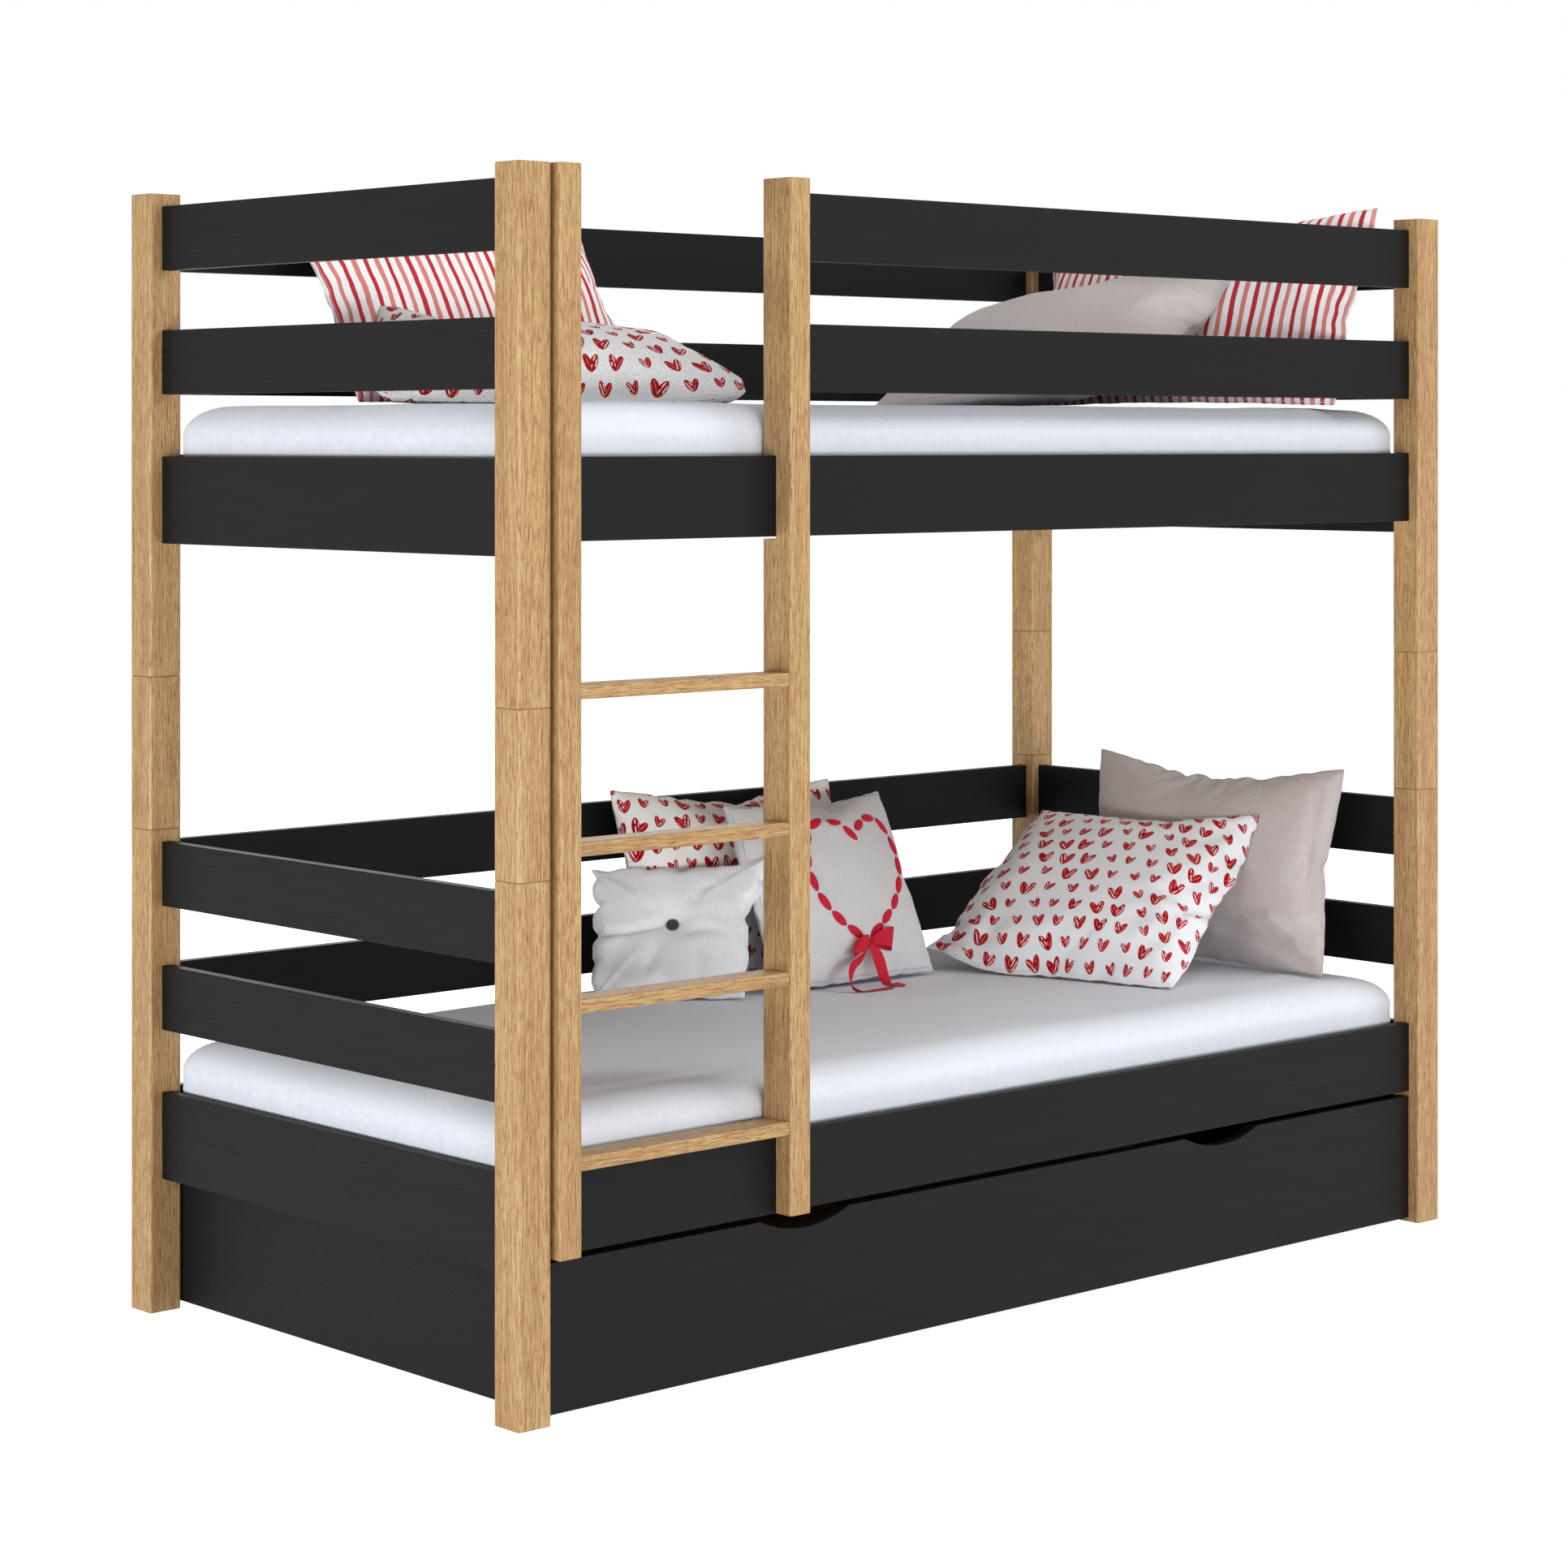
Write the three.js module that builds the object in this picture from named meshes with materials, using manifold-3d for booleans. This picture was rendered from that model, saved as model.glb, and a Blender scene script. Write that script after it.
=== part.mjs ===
// A wooden bunk bed for two 90 x 200 cm mattresses, with a ladder notched over the base boards
// and a drawer on castors underneath. Millimetres, +Z up, +X along the bed, the front (ladder
// side) towards -Y. The origin is on the floor under the middle of the bed.
import * as THREE from "three";
import { mergeVertices } from "three/addons/utils/BufferGeometryUtils.js";
import Module from "manifold-3d";

const wasm = await Module();
wasm.setup();

// Fits
const fit = 0.3; // between pieces that seat on or in each other
const rooted = 1; // how far a tenon or plate runs into the piece it belongs to
const runningFit = 0.5; // between a turning wheel and its axle

// Mattresses
const mattressLength = 2000;
const mattressWidth = 900;
const mattressThickness = 130;
const mattressCorner = 20; // plan radius of its corners
const mattressEdge = 48; // height of the rounding of its top and bottom edges
const mattressEdgeRun = 62; // how far in that rounding runs
const mattressCrown = 5;
const crownRings = [0.35, 0.65]; // where the crown is shaped, from the edge (0) to the middle (1)
const endRoom = 10; // between mattress and end boards
const sideRoom = 15; // between mattress and side boards

// Posts: two equal beds, one over the other, joined by spacer blocks on dowels
const postSize = 59;
const postLength = 777;
const spacerLength = 246;
const postRadius = 5;
const postEase = 1.2; // bevel round the post ends, which draws the seams
const dowelRadius = 8;
const dowelReach = 30; // into the post at each end of a spacer
const dowelSides = 12;

// Boards between the posts
const boardThickness = 20;
const boardInset = 22; // outer face of a board behind the outer face of the posts
const boardRadius = 1.2;
const guardHeight = 103.5;
const guardDrop = 20; // top guard board below the post top
const guardPitch = 199.5;
const baseDrop = 420; // top of the side base boards below the post top
const endBaseDrop = 423; // the same for the end base boards
const endBaseHeight = 140;
const sideBaseHeight = 122;
const tenonThickness = 10;
const tenonLength = 14;
const tenonShoulder = 12; // above and below a tenon

// Slatted bases
const slatDrop = 49; // top of the slats below the top of the side base boards
const slatThickness = 12;
const slatWidth = 70;
const slatCount = 14;
const slatEndRoom = 2; // between slat ends and side boards
const slatLead = 40; // from the end boards to the first slat
const ledgerSize = 28;
const slatSeat = 1; // how deep the slats are let into the ledgers

// Ladder
const ladderGap = 5.5; // between the left front post and the ladder
const ladderWidth = 487;
const stileWidth = 41.5;
const stileDepth = 64;
const stileProud = 11.5; // in front of the posts
const stileRadius = 4;
const notchRoom = 4; // left under the upper base board, to lift the ladder on
const rungCount = 4;
const rungPitch = 225.2;
const rungAboveBase = 21; // top of the lowest rung above the lower base board
const rungThickness = 21;
const rungDepth = 50;
const rungRecess = 3; // behind the front of the stiles
const rungRadius = 3;
const rungTenonInset = 4; // round a rung's tenon

// Drawer
const drawerFloorGap = 8.5;
const drawerTopGap = 9;
const drawerPostGap = 2;
const carcassThickness = 16;
const carcassDrop = 5; // sides and back below the top of the front
const carcassFloorGap = 11.5;
const drawerBackRoom = 0; // drawer back in front of the inner face of the back base board
const panelThickness = 8;
const panelLevel = 54; // underside of the drawer bottom above the floor
const grooveDepth = 6;
const gripWidth = 183;
const gripDepth = 20.5;
const gripSpread = 482; // finger grips from the middle of the bed
const gripSteps = 18;

// Castors under the drawer bottom
const wheelRadius = 22.5;
const wheelWidth = 17;
const wheelShoulder = 3; // rounding of the tread
const shoulderSteps = 2;
const wheelSides = 24;
const wheelFloorGap = 0.3;
const axleRadius = 3;
const hubRadius = 7;
const cheekThickness = 2.5;
const cheekGap = 1; // between wheel and fork cheek
const castorPlate = 3;
const castorLength = 42;
const castorInset = 110; // castor centres in from the carcass faces

// Pillows
const pillowSteps = 10;
const pillowFullness = 0.5; // 0.5 gives a round edge at the seam, 1 a sharp one
const pillowPinch = 0.06; // how far the middle of a side is drawn in, as a share of its half
const tuftRadius = 42;
const tuftDepth = 0.72; // share of the thickness that the button pulls in
const pressGap = 0.5; // left between a pillow and what it is pressed against

const bedLength = mattressLength + 2 * (endRoom + boardThickness + boardInset);
const bedWidth = mattressWidth + 2 * (sideRoom + boardThickness + boardInset);
const bedHeight = 2 * postLength + spacerLength;
const boardInner = boardInset + boardThickness;

const oak = new THREE.MeshStandardMaterial({ color: 0xc5a072, roughness: 0.55, metalness: 0 });
const blackPaint = new THREE.MeshStandardMaterial({ color: 0x2d2d2f, roughness: 0.6, metalness: 0 });
const pine = new THREE.MeshStandardMaterial({ color: 0xd8bd8f, roughness: 0.7, metalness: 0 });
const sheet = new THREE.MeshStandardMaterial({ color: 0xe6e7eb, roughness: 0.9, metalness: 0 });
const castorRubber = new THREE.MeshStandardMaterial({ color: 0x3a3a3c, roughness: 0.7, metalness: 0 });
const fabric = (color) => new THREE.MeshStandardMaterial({ color, roughness: 0.95, metalness: 0 });
const stripedCloth = fabric(0xd98d8c);
const heartCloth = fabric(0xe8e2e4);
const greyLinen = fabric(0xb4aca9);
const paleLinen = fabric(0xc3c1c2);
const paleCotton = fabric(0xd5d6d8);

// A pillow is [width, height, thickness], placed by its middle: from one end and from the back of
// the bed, turned by heading (0 faces +X), leant back, rolled in its own plane, and lifted from the
// mattress by its lower edge.
const pillows = [
  {
    name: "pillow_stripes_upper_right", cloth: stripedCloth, level: 1, size: [690, 400, 150],
    end: "right", fromEnd: 195, fromBack: 588, heading: 189, lean: 24, roll: 0, lift: 0,
  },
  {
    name: "pillow_grey_upper_right", cloth: greyLinen, level: 1, size: [554, 454, 150],
    end: "right", fromEnd: 424, fromBack: 452, heading: 184.5, lean: 65.5, roll: 13.6, lift: 19,
  },
  {
    name: "pillow_stripes_upper_left", cloth: stripedCloth, level: 1, size: [614, 415, 150],
    end: "left", fromEnd: 550, fromBack: 182, heading: 268, lean: 35, roll: 0, lift: 0,
  },
  {
    name: "pillow_hearts_upper_left", cloth: heartCloth, level: 1, size: [585, 416, 150],
    end: "left", fromEnd: 470, fromBack: 468, heading: 245, lean: 81, roll: -5, lift: 24,
  },
  {
    name: "pillow_hearts_lower_left", cloth: heartCloth, level: 0, size: [526, 359, 140],
    end: "left", fromEnd: 1182, fromBack: 145, heading: 269, lean: 15, roll: -1.3, lift: -3,
  },
  {
    name: "cushion_ribbon_heart", cloth: paleLinen, level: 0, size: [395, 352, 130],
    end: "left", fromEnd: 1254, fromBack: 315, heading: 271.5, lean: 24, roll: 0, lift: -3,
  },
  {
    name: "cushion_button", cloth: paleCotton, level: 0, size: [294, 270, 95], tuft: true,
    end: "left", fromEnd: 947, fromBack: 245, heading: 225.4, lean: 37, roll: 2.5, lift: -2,
  },
  {
    name: "pillow_grey_lower_right", cloth: greyLinen, level: 0, size: [604, 385, 130],
    end: "right", fromEnd: 140, fromBack: 588, heading: 180, lean: 9.5, roll: 0, lift: -6,
  },
  {
    name: "pillow_hearts_lower_right", cloth: heartCloth, level: 0, size: [488, 466, 140],
    end: "right", fromEnd: 365, fromBack: 534, heading: 197, lean: 55.5, roll: 0, lift: -2,
  },
];

const bed = new THREE.Group();
bed.position.set(-bedLength / 2, -(bedWidth - stileProud) / 2, 0);

// Solids

function solidOf(geometry) {
  const bare = geometry.clone();
  bare.deleteAttribute("normal");
  bare.deleteAttribute("uv");
  const merged = mergeVertices(bare, 1e-3);
  const mesh = new wasm.Mesh({
    numProp: 3,
    vertProperties: new Float32Array(merged.attributes.position.array),
    triVerts: new Uint32Array(merged.index.array),
  });
  return new wasm.Manifold(mesh);
}

function geometryOf(solid) {
  const mesh = solid.getMesh();
  const geometry = new THREE.BufferGeometry();
  geometry.setAttribute("position", new THREE.BufferAttribute(mesh.vertProperties, 3));
  geometry.setIndex(new THREE.BufferAttribute(mesh.triVerts, 1));
  const faceted = geometry.toNonIndexed();
  faceted.computeVertexNormals();
  return faceted;
}

function addPiece(parent, name, solid, material, place = [0, 0, 0]) {
  const mesh = new THREE.Mesh(geometryOf(solid), material);
  mesh.name = name;
  mesh.position.set(...place);
  parent.add(mesh);
}

// A box between two corners.
function block(low, high) {
  const size = high.map((value, i) => value - low[i]);
  const middle = high.map((value, i) => (value + low[i]) / 2);
  return solidOf(new THREE.BoxGeometry(...size).translate(...middle));
}

const grown = (low, high, by) => block(low.map((v) => v - by), high.map((v) => v + by));

function roundedOutline(width, height, radius) {
  const quarter = Math.PI / 2;
  const outline = new THREE.Shape();
  outline.absarc(width - radius, height - radius, radius, 0, quarter);
  outline.absarc(radius, height - radius, radius, quarter, 2 * quarter);
  outline.absarc(radius, radius, radius, 2 * quarter, 3 * quarter);
  outline.absarc(width - radius, radius, radius, 3 * quarter, 4 * quarter);
  return outline;
}

// A bar with rounded long edges and bevelled ends, from its low corner at the origin.
const alongX = new THREE.Matrix4().set(0, 0, 1, 0, 1, 0, 0, 0, 0, 1, 0, 0, 0, 0, 0, 1);
const alongY = new THREE.Matrix4().set(0, 1, 0, 0, 0, 0, 1, 0, 1, 0, 0, 0, 0, 0, 0, 1);

function bar(axis, size, radius, ease = 0, steps = 2) {
  const [x, y, z] = size;
  const [a, b, length] = { x: [y, z, x], y: [z, x, y], z: [x, y, z] }[axis];
  const geometry = new THREE.ExtrudeGeometry(roundedOutline(a, b, radius), {
    depth: length - 2 * ease,
    bevelEnabled: ease > 0,
    bevelThickness: ease,
    bevelSize: ease,
    bevelOffset: -ease,
    bevelSegments: 1,
    curveSegments: steps,
  });
  geometry.translate(0, 0, ease);
  if (axis === "x") geometry.applyMatrix4(alongX);
  if (axis === "y") geometry.applyMatrix4(alongY);
  return solidOf(geometry);
}

// Boards between the posts, each with a stub tenon at both ends. A tenon's mortise is kept
// under the name of the piece that takes it, and cut when that piece is made.

const mortises = new Map();
const boards = [];

function keepMortise(piece, low, high) {
  if (!mortises.has(piece)) mortises.set(piece, []);
  mortises.get(piece).push(grown(low, high, fit));
}

function tenonBoxes(axis, low, high, sideInset, edgeInset) {
  const run = axis === "x" ? 0 : 1;
  const across = 1 - run;
  return [0, 1].map((end) => {
    const tenonLow = [...low];
    const tenonHigh = [...high];
    tenonLow[across] += sideInset;
    tenonHigh[across] -= sideInset;
    tenonLow[2] += edgeInset;
    tenonHigh[2] -= edgeInset;
    if (end === 0) {
      tenonHigh[run] = low[run];
      tenonLow[run] = low[run] - tenonLength;
    } else {
      tenonLow[run] = high[run];
      tenonHigh[run] = high[run] + tenonLength;
    }
    return [tenonLow, tenonHigh];
  });
}

function addTenoned(name, axis, low, high, supports, style) {
  const run = axis === "x" ? 0 : 1;
  const size = high.map((value, i) => value - low[i]);
  let solid = bar(axis, size, style.radius, 0, style.steps).translate(low);
  tenonBoxes(axis, low, high, style.sideInset, style.edgeInset).forEach(([a, b], end) => {
    keepMortise(supports[end], a, b);
    const inward = (corner, way) => corner.map((v, i) => v + (i === run ? way * rooted : 0));
    solid = solid.add(end === 0 ? block(a, inward(b, 1)) : block(inward(a, -1), b));
  });
  addPiece(bed, name, solid, style.material);
}

const boardStyle = {
  material: blackPaint,
  radius: boardRadius,
  steps: 1,
  sideInset: (boardThickness - tenonThickness) / 2,
  edgeInset: tenonShoulder,
};

function addBoard(name, axis, low, high, supports) {
  addTenoned(name, axis, low, high, supports, boardStyle);
  boards.push([low, high]);
}

const stileLeft = postSize + ladderGap;
const stileRight = stileLeft + ladderWidth - stileWidth;
const ladderEnd = stileRight + stileWidth;
const shoulderX = [postSize + fit, bedLength - postSize - fit];
const shoulderY = [postSize + fit, bedWidth - postSize - fit];

const beds = [
  { name: "lower", top: postLength },
  { name: "upper", top: bedHeight },
];

function addBedBoards({ name, top }) {
  const baseTop = top - baseDrop;
  const endBaseTop = top - endBaseDrop;
  const guardLevels = [
    ["guard_top", top - guardDrop - guardHeight, top - guardDrop],
    ["guard_low", top - guardDrop - guardPitch - guardHeight, top - guardDrop - guardPitch],
  ];
  const endLevels = [...guardLevels, ["base", endBaseTop - endBaseHeight, endBaseTop]];
  const ends = { left: boardInset, right: bedLength - boardInner };
  for (const [side, x] of Object.entries(ends))
    for (const [part, low, high] of endLevels)
      addBoard(`${name}_${side}_${part}`, "y",
        [x, shoulderY[0], low], [x + boardThickness, shoulderY[1], high],
        [`${name}_post_front_${side}`, `${name}_post_back_${side}`]);

  const sideLevels = [...guardLevels, ["base", baseTop - sideBaseHeight, baseTop]];
  const backY = bedWidth - boardInner;
  for (const [part, low, high] of sideLevels)
    addBoard(`${name}_back_${part}`, "x",
      [shoulderX[0], backY, low], [shoulderX[1], backY + boardThickness, high],
      [`${name}_post_back_left`, `${name}_post_back_right`]);

  const [, baseLow, baseHigh] = sideLevels[2];
  addBoard(`${name}_front_base`, "x",
    [shoulderX[0], boardInset, baseLow], [shoulderX[1], boardInner, baseHigh],
    [`${name}_post_front_left`, `${name}_post_front_right`]);
  if (name === "upper")
    for (const [part, low, high] of guardLevels)
      addBoard(`${name}_front_${part}`, "x",
        [ladderEnd + fit, boardInset, low], [shoulderX[1], boardInner, high],
        ["ladder_stile_right", `${name}_post_front_right`]);
}

beds.forEach(addBedBoards);

// Posts and the spacer blocks between them

function postBar(length) {
  return bar("z", [postSize, postSize, length], postRadius, postEase);
}

function dowelHole(level) {
  return solidOf(
    new THREE.CylinderGeometry(dowelRadius + fit, dowelRadius + fit, 2 * (dowelReach + fit), dowelSides)
      .rotateX(Math.PI / 2)
      .translate(postSize / 2, postSize / 2, level),
  );
}

function spacerBlock() {
  const length = spacerLength - fit;
  const dowel = new THREE.CylinderGeometry(dowelRadius, dowelRadius, length + 2 * dowelReach, dowelSides)
    .rotateX(Math.PI / 2)
    .translate(postSize / 2, postSize / 2, length / 2);
  return postBar(length).add(solidOf(dowel));
}

function addPosts() {
  const corners = {
    front_left: [0, 0],
    front_right: [bedLength - postSize, 0],
    back_left: [0, bedWidth - postSize],
    back_right: [bedLength - postSize, bedWidth - postSize],
  };
  const cutMortises = (post, name, place) => {
    const back = place.map((v) => -v);
    return mortises.get(name).reduce((solid, hole) => solid.subtract(hole.translate(back)), post);
  };
  for (const [corner, [x, y]] of Object.entries(corners)) {
    const lowerName = `lower_post_${corner}`;
    const upperName = `upper_post_${corner}`;
    const upperPlace = [x, y, postLength + spacerLength];
    const lower = postBar(postLength - fit).subtract(dowelHole(postLength - fit));
    const upper = postBar(postLength).subtract(dowelHole(0));
    addPiece(bed, lowerName, cutMortises(lower, lowerName, [x, y, 0]), oak, [x, y, 0]);
    addPiece(bed, `spacer_${corner}`, spacerBlock(), oak, [x, y, postLength]);
    addPiece(bed, upperName, cutMortises(upper, upperName, upperPlace), oak, upperPlace);
  }
}

addPosts();

// Slatted bases: slats across the bed, let into a ledger along each base board

function addSlattedBase({ name, top }) {
  const slatTop = top - baseDrop - slatDrop;
  const ledgerTop = slatTop - slatThickness + slatSeat;
  const ledgerFrom = postSize + fit;
  const ledgerLength = bedLength - 2 * ledgerFrom;
  const ledgers = [boardInner + fit, bedWidth - boardInner - fit - ledgerSize].map((y) =>
    block([ledgerFrom, y, ledgerTop - ledgerSize], [ledgerFrom + ledgerLength, y + ledgerSize, ledgerTop]),
  );
  let solid = ledgers[0].add(ledgers[1]);
  const first = boardInner + slatLead;
  const pitch = (bedLength - 2 * first - slatWidth) / (slatCount - 1);
  const slatFrom = boardInner + slatEndRoom;
  for (let i = 0; i < slatCount; i += 1) {
    const x = first + i * pitch;
    const low = [x, slatFrom, slatTop - slatThickness];
    solid = solid.add(block(low, [x + slatWidth, bedWidth - slatFrom, slatTop]));
  }
  addPiece(bed, `${name}_slatted_base`, solid, pine);
}

beds.forEach(addSlattedBase);

// Ladder: rungs let into two stiles, which are notched from behind over both base boards

function addLadder() {
  const lowerBaseTop = beds[0].top - baseDrop;
  const upperBaseTop = beds[1].top - baseDrop;
  const foot = lowerBaseTop - sideBaseHeight;
  const rungFront = -stileProud + rungRecess;
  const rungStyle = {
    material: oak,
    radius: rungRadius,
    steps: 2,
    sideInset: 2 * rungTenonInset,
    edgeInset: rungTenonInset,
  };
  for (let i = 0; i < rungCount; i += 1) {
    const rungTop = lowerBaseTop + rungAboveBase + i * rungPitch;
    addTenoned(`rung_${i + 1}`, "x",
      [stileLeft + stileWidth + fit, rungFront, rungTop - rungThickness],
      [stileRight - fit, rungFront + rungDepth, rungTop],
      ["ladder_stile_left", "ladder_stile_right"], rungStyle);
  }
  const behind = stileDepth; // past the back of the stile
  const notches = [
    [foot - behind, lowerBaseTop + fit],
    [upperBaseTop - sideBaseHeight - notchRoom, upperBaseTop + fit],
  ];
  for (const [name, x] of [["ladder_stile_left", stileLeft], ["ladder_stile_right", stileRight]]) {
    const place = [x, -stileProud, foot];
    let stile = bar("z", [stileWidth, stileDepth, bedHeight - foot], stileRadius, postEase).translate(place);
    const notchX = [x - fit, x + stileWidth + fit];
    for (const [low, high] of notches)
      stile = stile.subtract(
        block([notchX[0], boardInset - fit, low], [notchX[1], boardInset + behind, high]),
      );
    for (const hole of mortises.get(name)) stile = stile.subtract(hole);
    addPiece(bed, name, stile.translate(place.map((v) => -v)), oak, place);
  }
}

addLadder();

// Drawer: a front with two finger grips, a carcass, and a grooved-in bottom on castors

const drawerLeft = postSize + drawerPostGap;
const drawerRight = bedLength - drawerLeft;
const drawerTop = beds[0].top - baseDrop - sideBaseHeight - drawerTopGap;
const carcassFront = boardInner + fit;
const carcassBack = bedWidth - boardInner - drawerBackRoom;

// A board with a shallow arc cut into its top edge at each grip.
function gripFront() {
  const width = drawerRight - drawerLeft;
  const height = drawerTop - drawerFloorGap;
  const gripRadius = (gripWidth ** 2 / 4 + gripDepth ** 2) / (2 * gripDepth);
  const reach = Math.asin(gripWidth / 2 / gripRadius);
  const down = -Math.PI / 2;
  const outline = new THREE.Shape();
  outline.moveTo(0, 0);
  outline.lineTo(width, 0);
  outline.lineTo(width, height);
  for (const side of [1, -1]) {
    const middle = width / 2 + side * gripSpread;
    const centre = height + gripRadius - gripDepth;
    outline.absarc(middle, centre, gripRadius, down + reach, down - reach, true);
  }
  outline.lineTo(0, height);
  const cut = { depth: boardThickness, bevelEnabled: false, curveSegments: gripSteps };
  const slab = new THREE.ExtrudeGeometry(outline, cut);
  slab.rotateX(Math.PI / 2).translate(0, boardThickness, 0);
  return solidOf(slab).translate([drawerLeft, boardInset, drawerFloorGap]);
}

function castorPlaces() {
  const xs = [drawerLeft + castorInset, drawerRight - castorInset];
  const ys = [carcassFront + castorInset, carcassBack - castorInset];
  return [
    ["front_left", xs[0], ys[0]],
    ["front_right", xs[1], ys[0]],
    ["back_left", xs[0], ys[1]],
    ["back_right", xs[1], ys[1]],
  ];
}

const axleLevel = wheelFloorGap + wheelRadius;

// A fixed castor's plate, two cheeks and the axle between them, hung from the drawer bottom.
function castorFork(x, y) {
  const inner = wheelWidth / 2 + cheekGap;
  const outer = inner + cheekThickness;
  const plateLow = panelLevel - castorPlate;
  const halfLength = castorLength / 2;
  const cheekTop = plateLow + rooted - axleLevel;
  let fork = block([x - outer, y - halfLength, plateLow], [x + outer, y + halfLength, panelLevel + rooted]);
  const cheek = new THREE.Shape();
  cheek.moveTo(-halfLength, cheekTop);
  cheek.lineTo(-hubRadius, 0);
  cheek.absarc(0, 0, hubRadius, Math.PI, 2 * Math.PI);
  cheek.lineTo(halfLength, cheekTop);
  const cut = { depth: cheekThickness, bevelEnabled: false, curveSegments: 6 };
  for (const side of [-outer, inner]) {
    const plate = new THREE.ExtrudeGeometry(cheek, cut);
    plate.applyMatrix4(alongX).translate(x + side, y, axleLevel);
    fork = fork.add(solidOf(plate));
  }
  const axle = new THREE.CylinderGeometry(axleRadius, axleRadius, 2 * outer, 12);
  return fork.add(solidOf(axle.rotateZ(Math.PI / 2).translate(x, y, axleLevel)));
}

function wheelSolid() {
  const half = wheelWidth / 2;
  const bore = axleRadius + runningFit;
  const profile = [[bore, -half]];
  for (let i = 0; i <= shoulderSteps; i += 1) {
    const angle = ((i / shoulderSteps) * Math.PI) / 2;
    const inward = wheelShoulder * (1 - Math.sin(angle));
    profile.push([wheelRadius - inward, -half + wheelShoulder * (1 - Math.cos(angle))]);
  }
  const mirrored = profile.map(([r, along]) => [r, -along]).reverse();
  const closed = [...profile, ...mirrored, profile[0]].map(([r, along]) => new THREE.Vector2(r, along));
  return solidOf(new THREE.LatheGeometry(closed, wheelSides).rotateZ(Math.PI / 2));
}

function addDrawer() {
  const drawer = new THREE.Group();
  bed.add(drawer);
  const grooveLow = panelLevel - fit;
  const grooveHigh = panelLevel + panelThickness + fit;
  const innerLeft = drawerLeft + carcassThickness;
  const innerRight = drawerRight - carcassThickness;
  const innerBack = carcassBack - carcassThickness;
  const groove = block(
    [innerLeft - grooveDepth - fit, boardInner - grooveDepth - fit, grooveLow],
    [innerRight + grooveDepth + fit, innerBack + grooveDepth + fit, grooveHigh],
  );
  addPiece(drawer, "drawer_front", gripFront().subtract(groove), blackPaint);

  const carcassTop = drawerTop - carcassDrop;
  const outer = block([drawerLeft, carcassFront, carcassFloorGap], [drawerRight, carcassBack, carcassTop]);
  const hollow = block([innerLeft, boardInner - boardThickness, 0], [innerRight, innerBack, bedHeight]);
  addPiece(drawer, "drawer_carcass", outer.subtract(hollow).subtract(groove), blackPaint);

  let bottom = block(
    [innerLeft - grooveDepth, boardInner - grooveDepth, panelLevel],
    [innerRight + grooveDepth, innerBack + grooveDepth, panelLevel + panelThickness],
  );
  for (const [, x, y] of castorPlaces()) bottom = bottom.add(castorFork(x, y));
  addPiece(drawer, "drawer_bottom", bottom, pine);

  for (const [corner, x, y] of castorPlaces())
    addPiece(drawer, `castor_wheel_${corner}`, wheelSolid(), castorRubber, [x, y, axleLevel]);
}

addDrawer();

// Mattresses: a soft slab with rounded edges, round corners and a slight crown

function ringAt(halfLength, halfWidth, radius, height) {
  const cornerSteps = 4;
  const sideSteps = { long: 8, short: 4 };
  const ring = [];
  const push = (x, y) => ring.push(new THREE.Vector3(x, y, height));
  const straight = (from, to, steps) => {
    for (let i = 1; i < steps; i += 1)
      push(from[0] + ((to[0] - from[0]) * i) / steps, from[1] + ((to[1] - from[1]) * i) / steps);
  };
  const centre = [halfLength - radius, halfWidth - radius];
  const turns = [[1, 1], [-1, 1], [-1, -1], [1, -1]];
  turns.forEach(([sx, sy], corner) => {
    const start = (corner * Math.PI) / 2;
    for (let i = 0; i <= cornerSteps; i += 1) {
      const angle = start + ((i / cornerSteps) * Math.PI) / 2;
      push(sx * centre[0] + radius * Math.cos(angle), sy * centre[1] + radius * Math.sin(angle));
    }
    const last = ring[ring.length - 1];
    const alongLength = corner % 2 === 0;
    const end = alongLength ? [-sx * centre[0], last.y] : [last.x, -sy * centre[1]];
    straight([last.x, last.y], end, alongLength ? sideSteps.long : sideSteps.short);
  });
  return ring;
}

function loft(rings, low, high) {
  const points = [low, ...rings.flat(), high];
  const count = rings[0].length;
  const index = [];
  const at = (ring, i) => 1 + ring * count + (i % count);
  for (let i = 0; i < count; i += 1) {
    index.push(0, at(0, i + 1), at(0, i));
    for (let ring = 0; ring + 1 < rings.length; ring += 1) {
      index.push(at(ring, i), at(ring, i + 1), at(ring + 1, i));
      index.push(at(ring, i + 1), at(ring + 1, i + 1), at(ring + 1, i));
    }
    index.push(at(rings.length - 1, i), at(rings.length - 1, i + 1), points.length - 1);
  }
  const geometry = new THREE.BufferGeometry().setFromPoints(points);
  geometry.setIndex(index);
  return geometry;
}

function mattressSolid() {
  const edgeSteps = 3;
  const half = mattressThickness / 2;
  const rings = [];
  const ring = (inset, height) =>
    rings.push(ringAt(mattressLength / 2 - inset, mattressWidth / 2 - inset, mattressCorner, height));
  for (let i = 0; i <= edgeSteps; i += 1) {
    const angle = ((i / edgeSteps) * Math.PI) / 2;
    ring(mattressEdgeRun * (1 - Math.sin(angle)), -half + mattressEdge * (1 - Math.cos(angle)));
  }
  const shoulder = half - mattressCrown;
  for (let i = 0; i <= edgeSteps; i += 1) {
    const angle = ((i / edgeSteps) * Math.PI) / 2;
    ring(mattressEdgeRun * (1 - Math.cos(angle)), shoulder - mattressEdge * (1 - Math.sin(angle)));
  }
  for (const share of crownRings) {
    const inset = mattressEdgeRun + share * (mattressWidth / 2 - mattressEdgeRun - mattressCorner);
    ring(inset, shoulder + mattressCrown * (1 - (1 - share) ** 2));
  }
  return solidOf(loft(rings, new THREE.Vector3(0, 0, -half), new THREE.Vector3(0, 0, half)));
}

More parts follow.
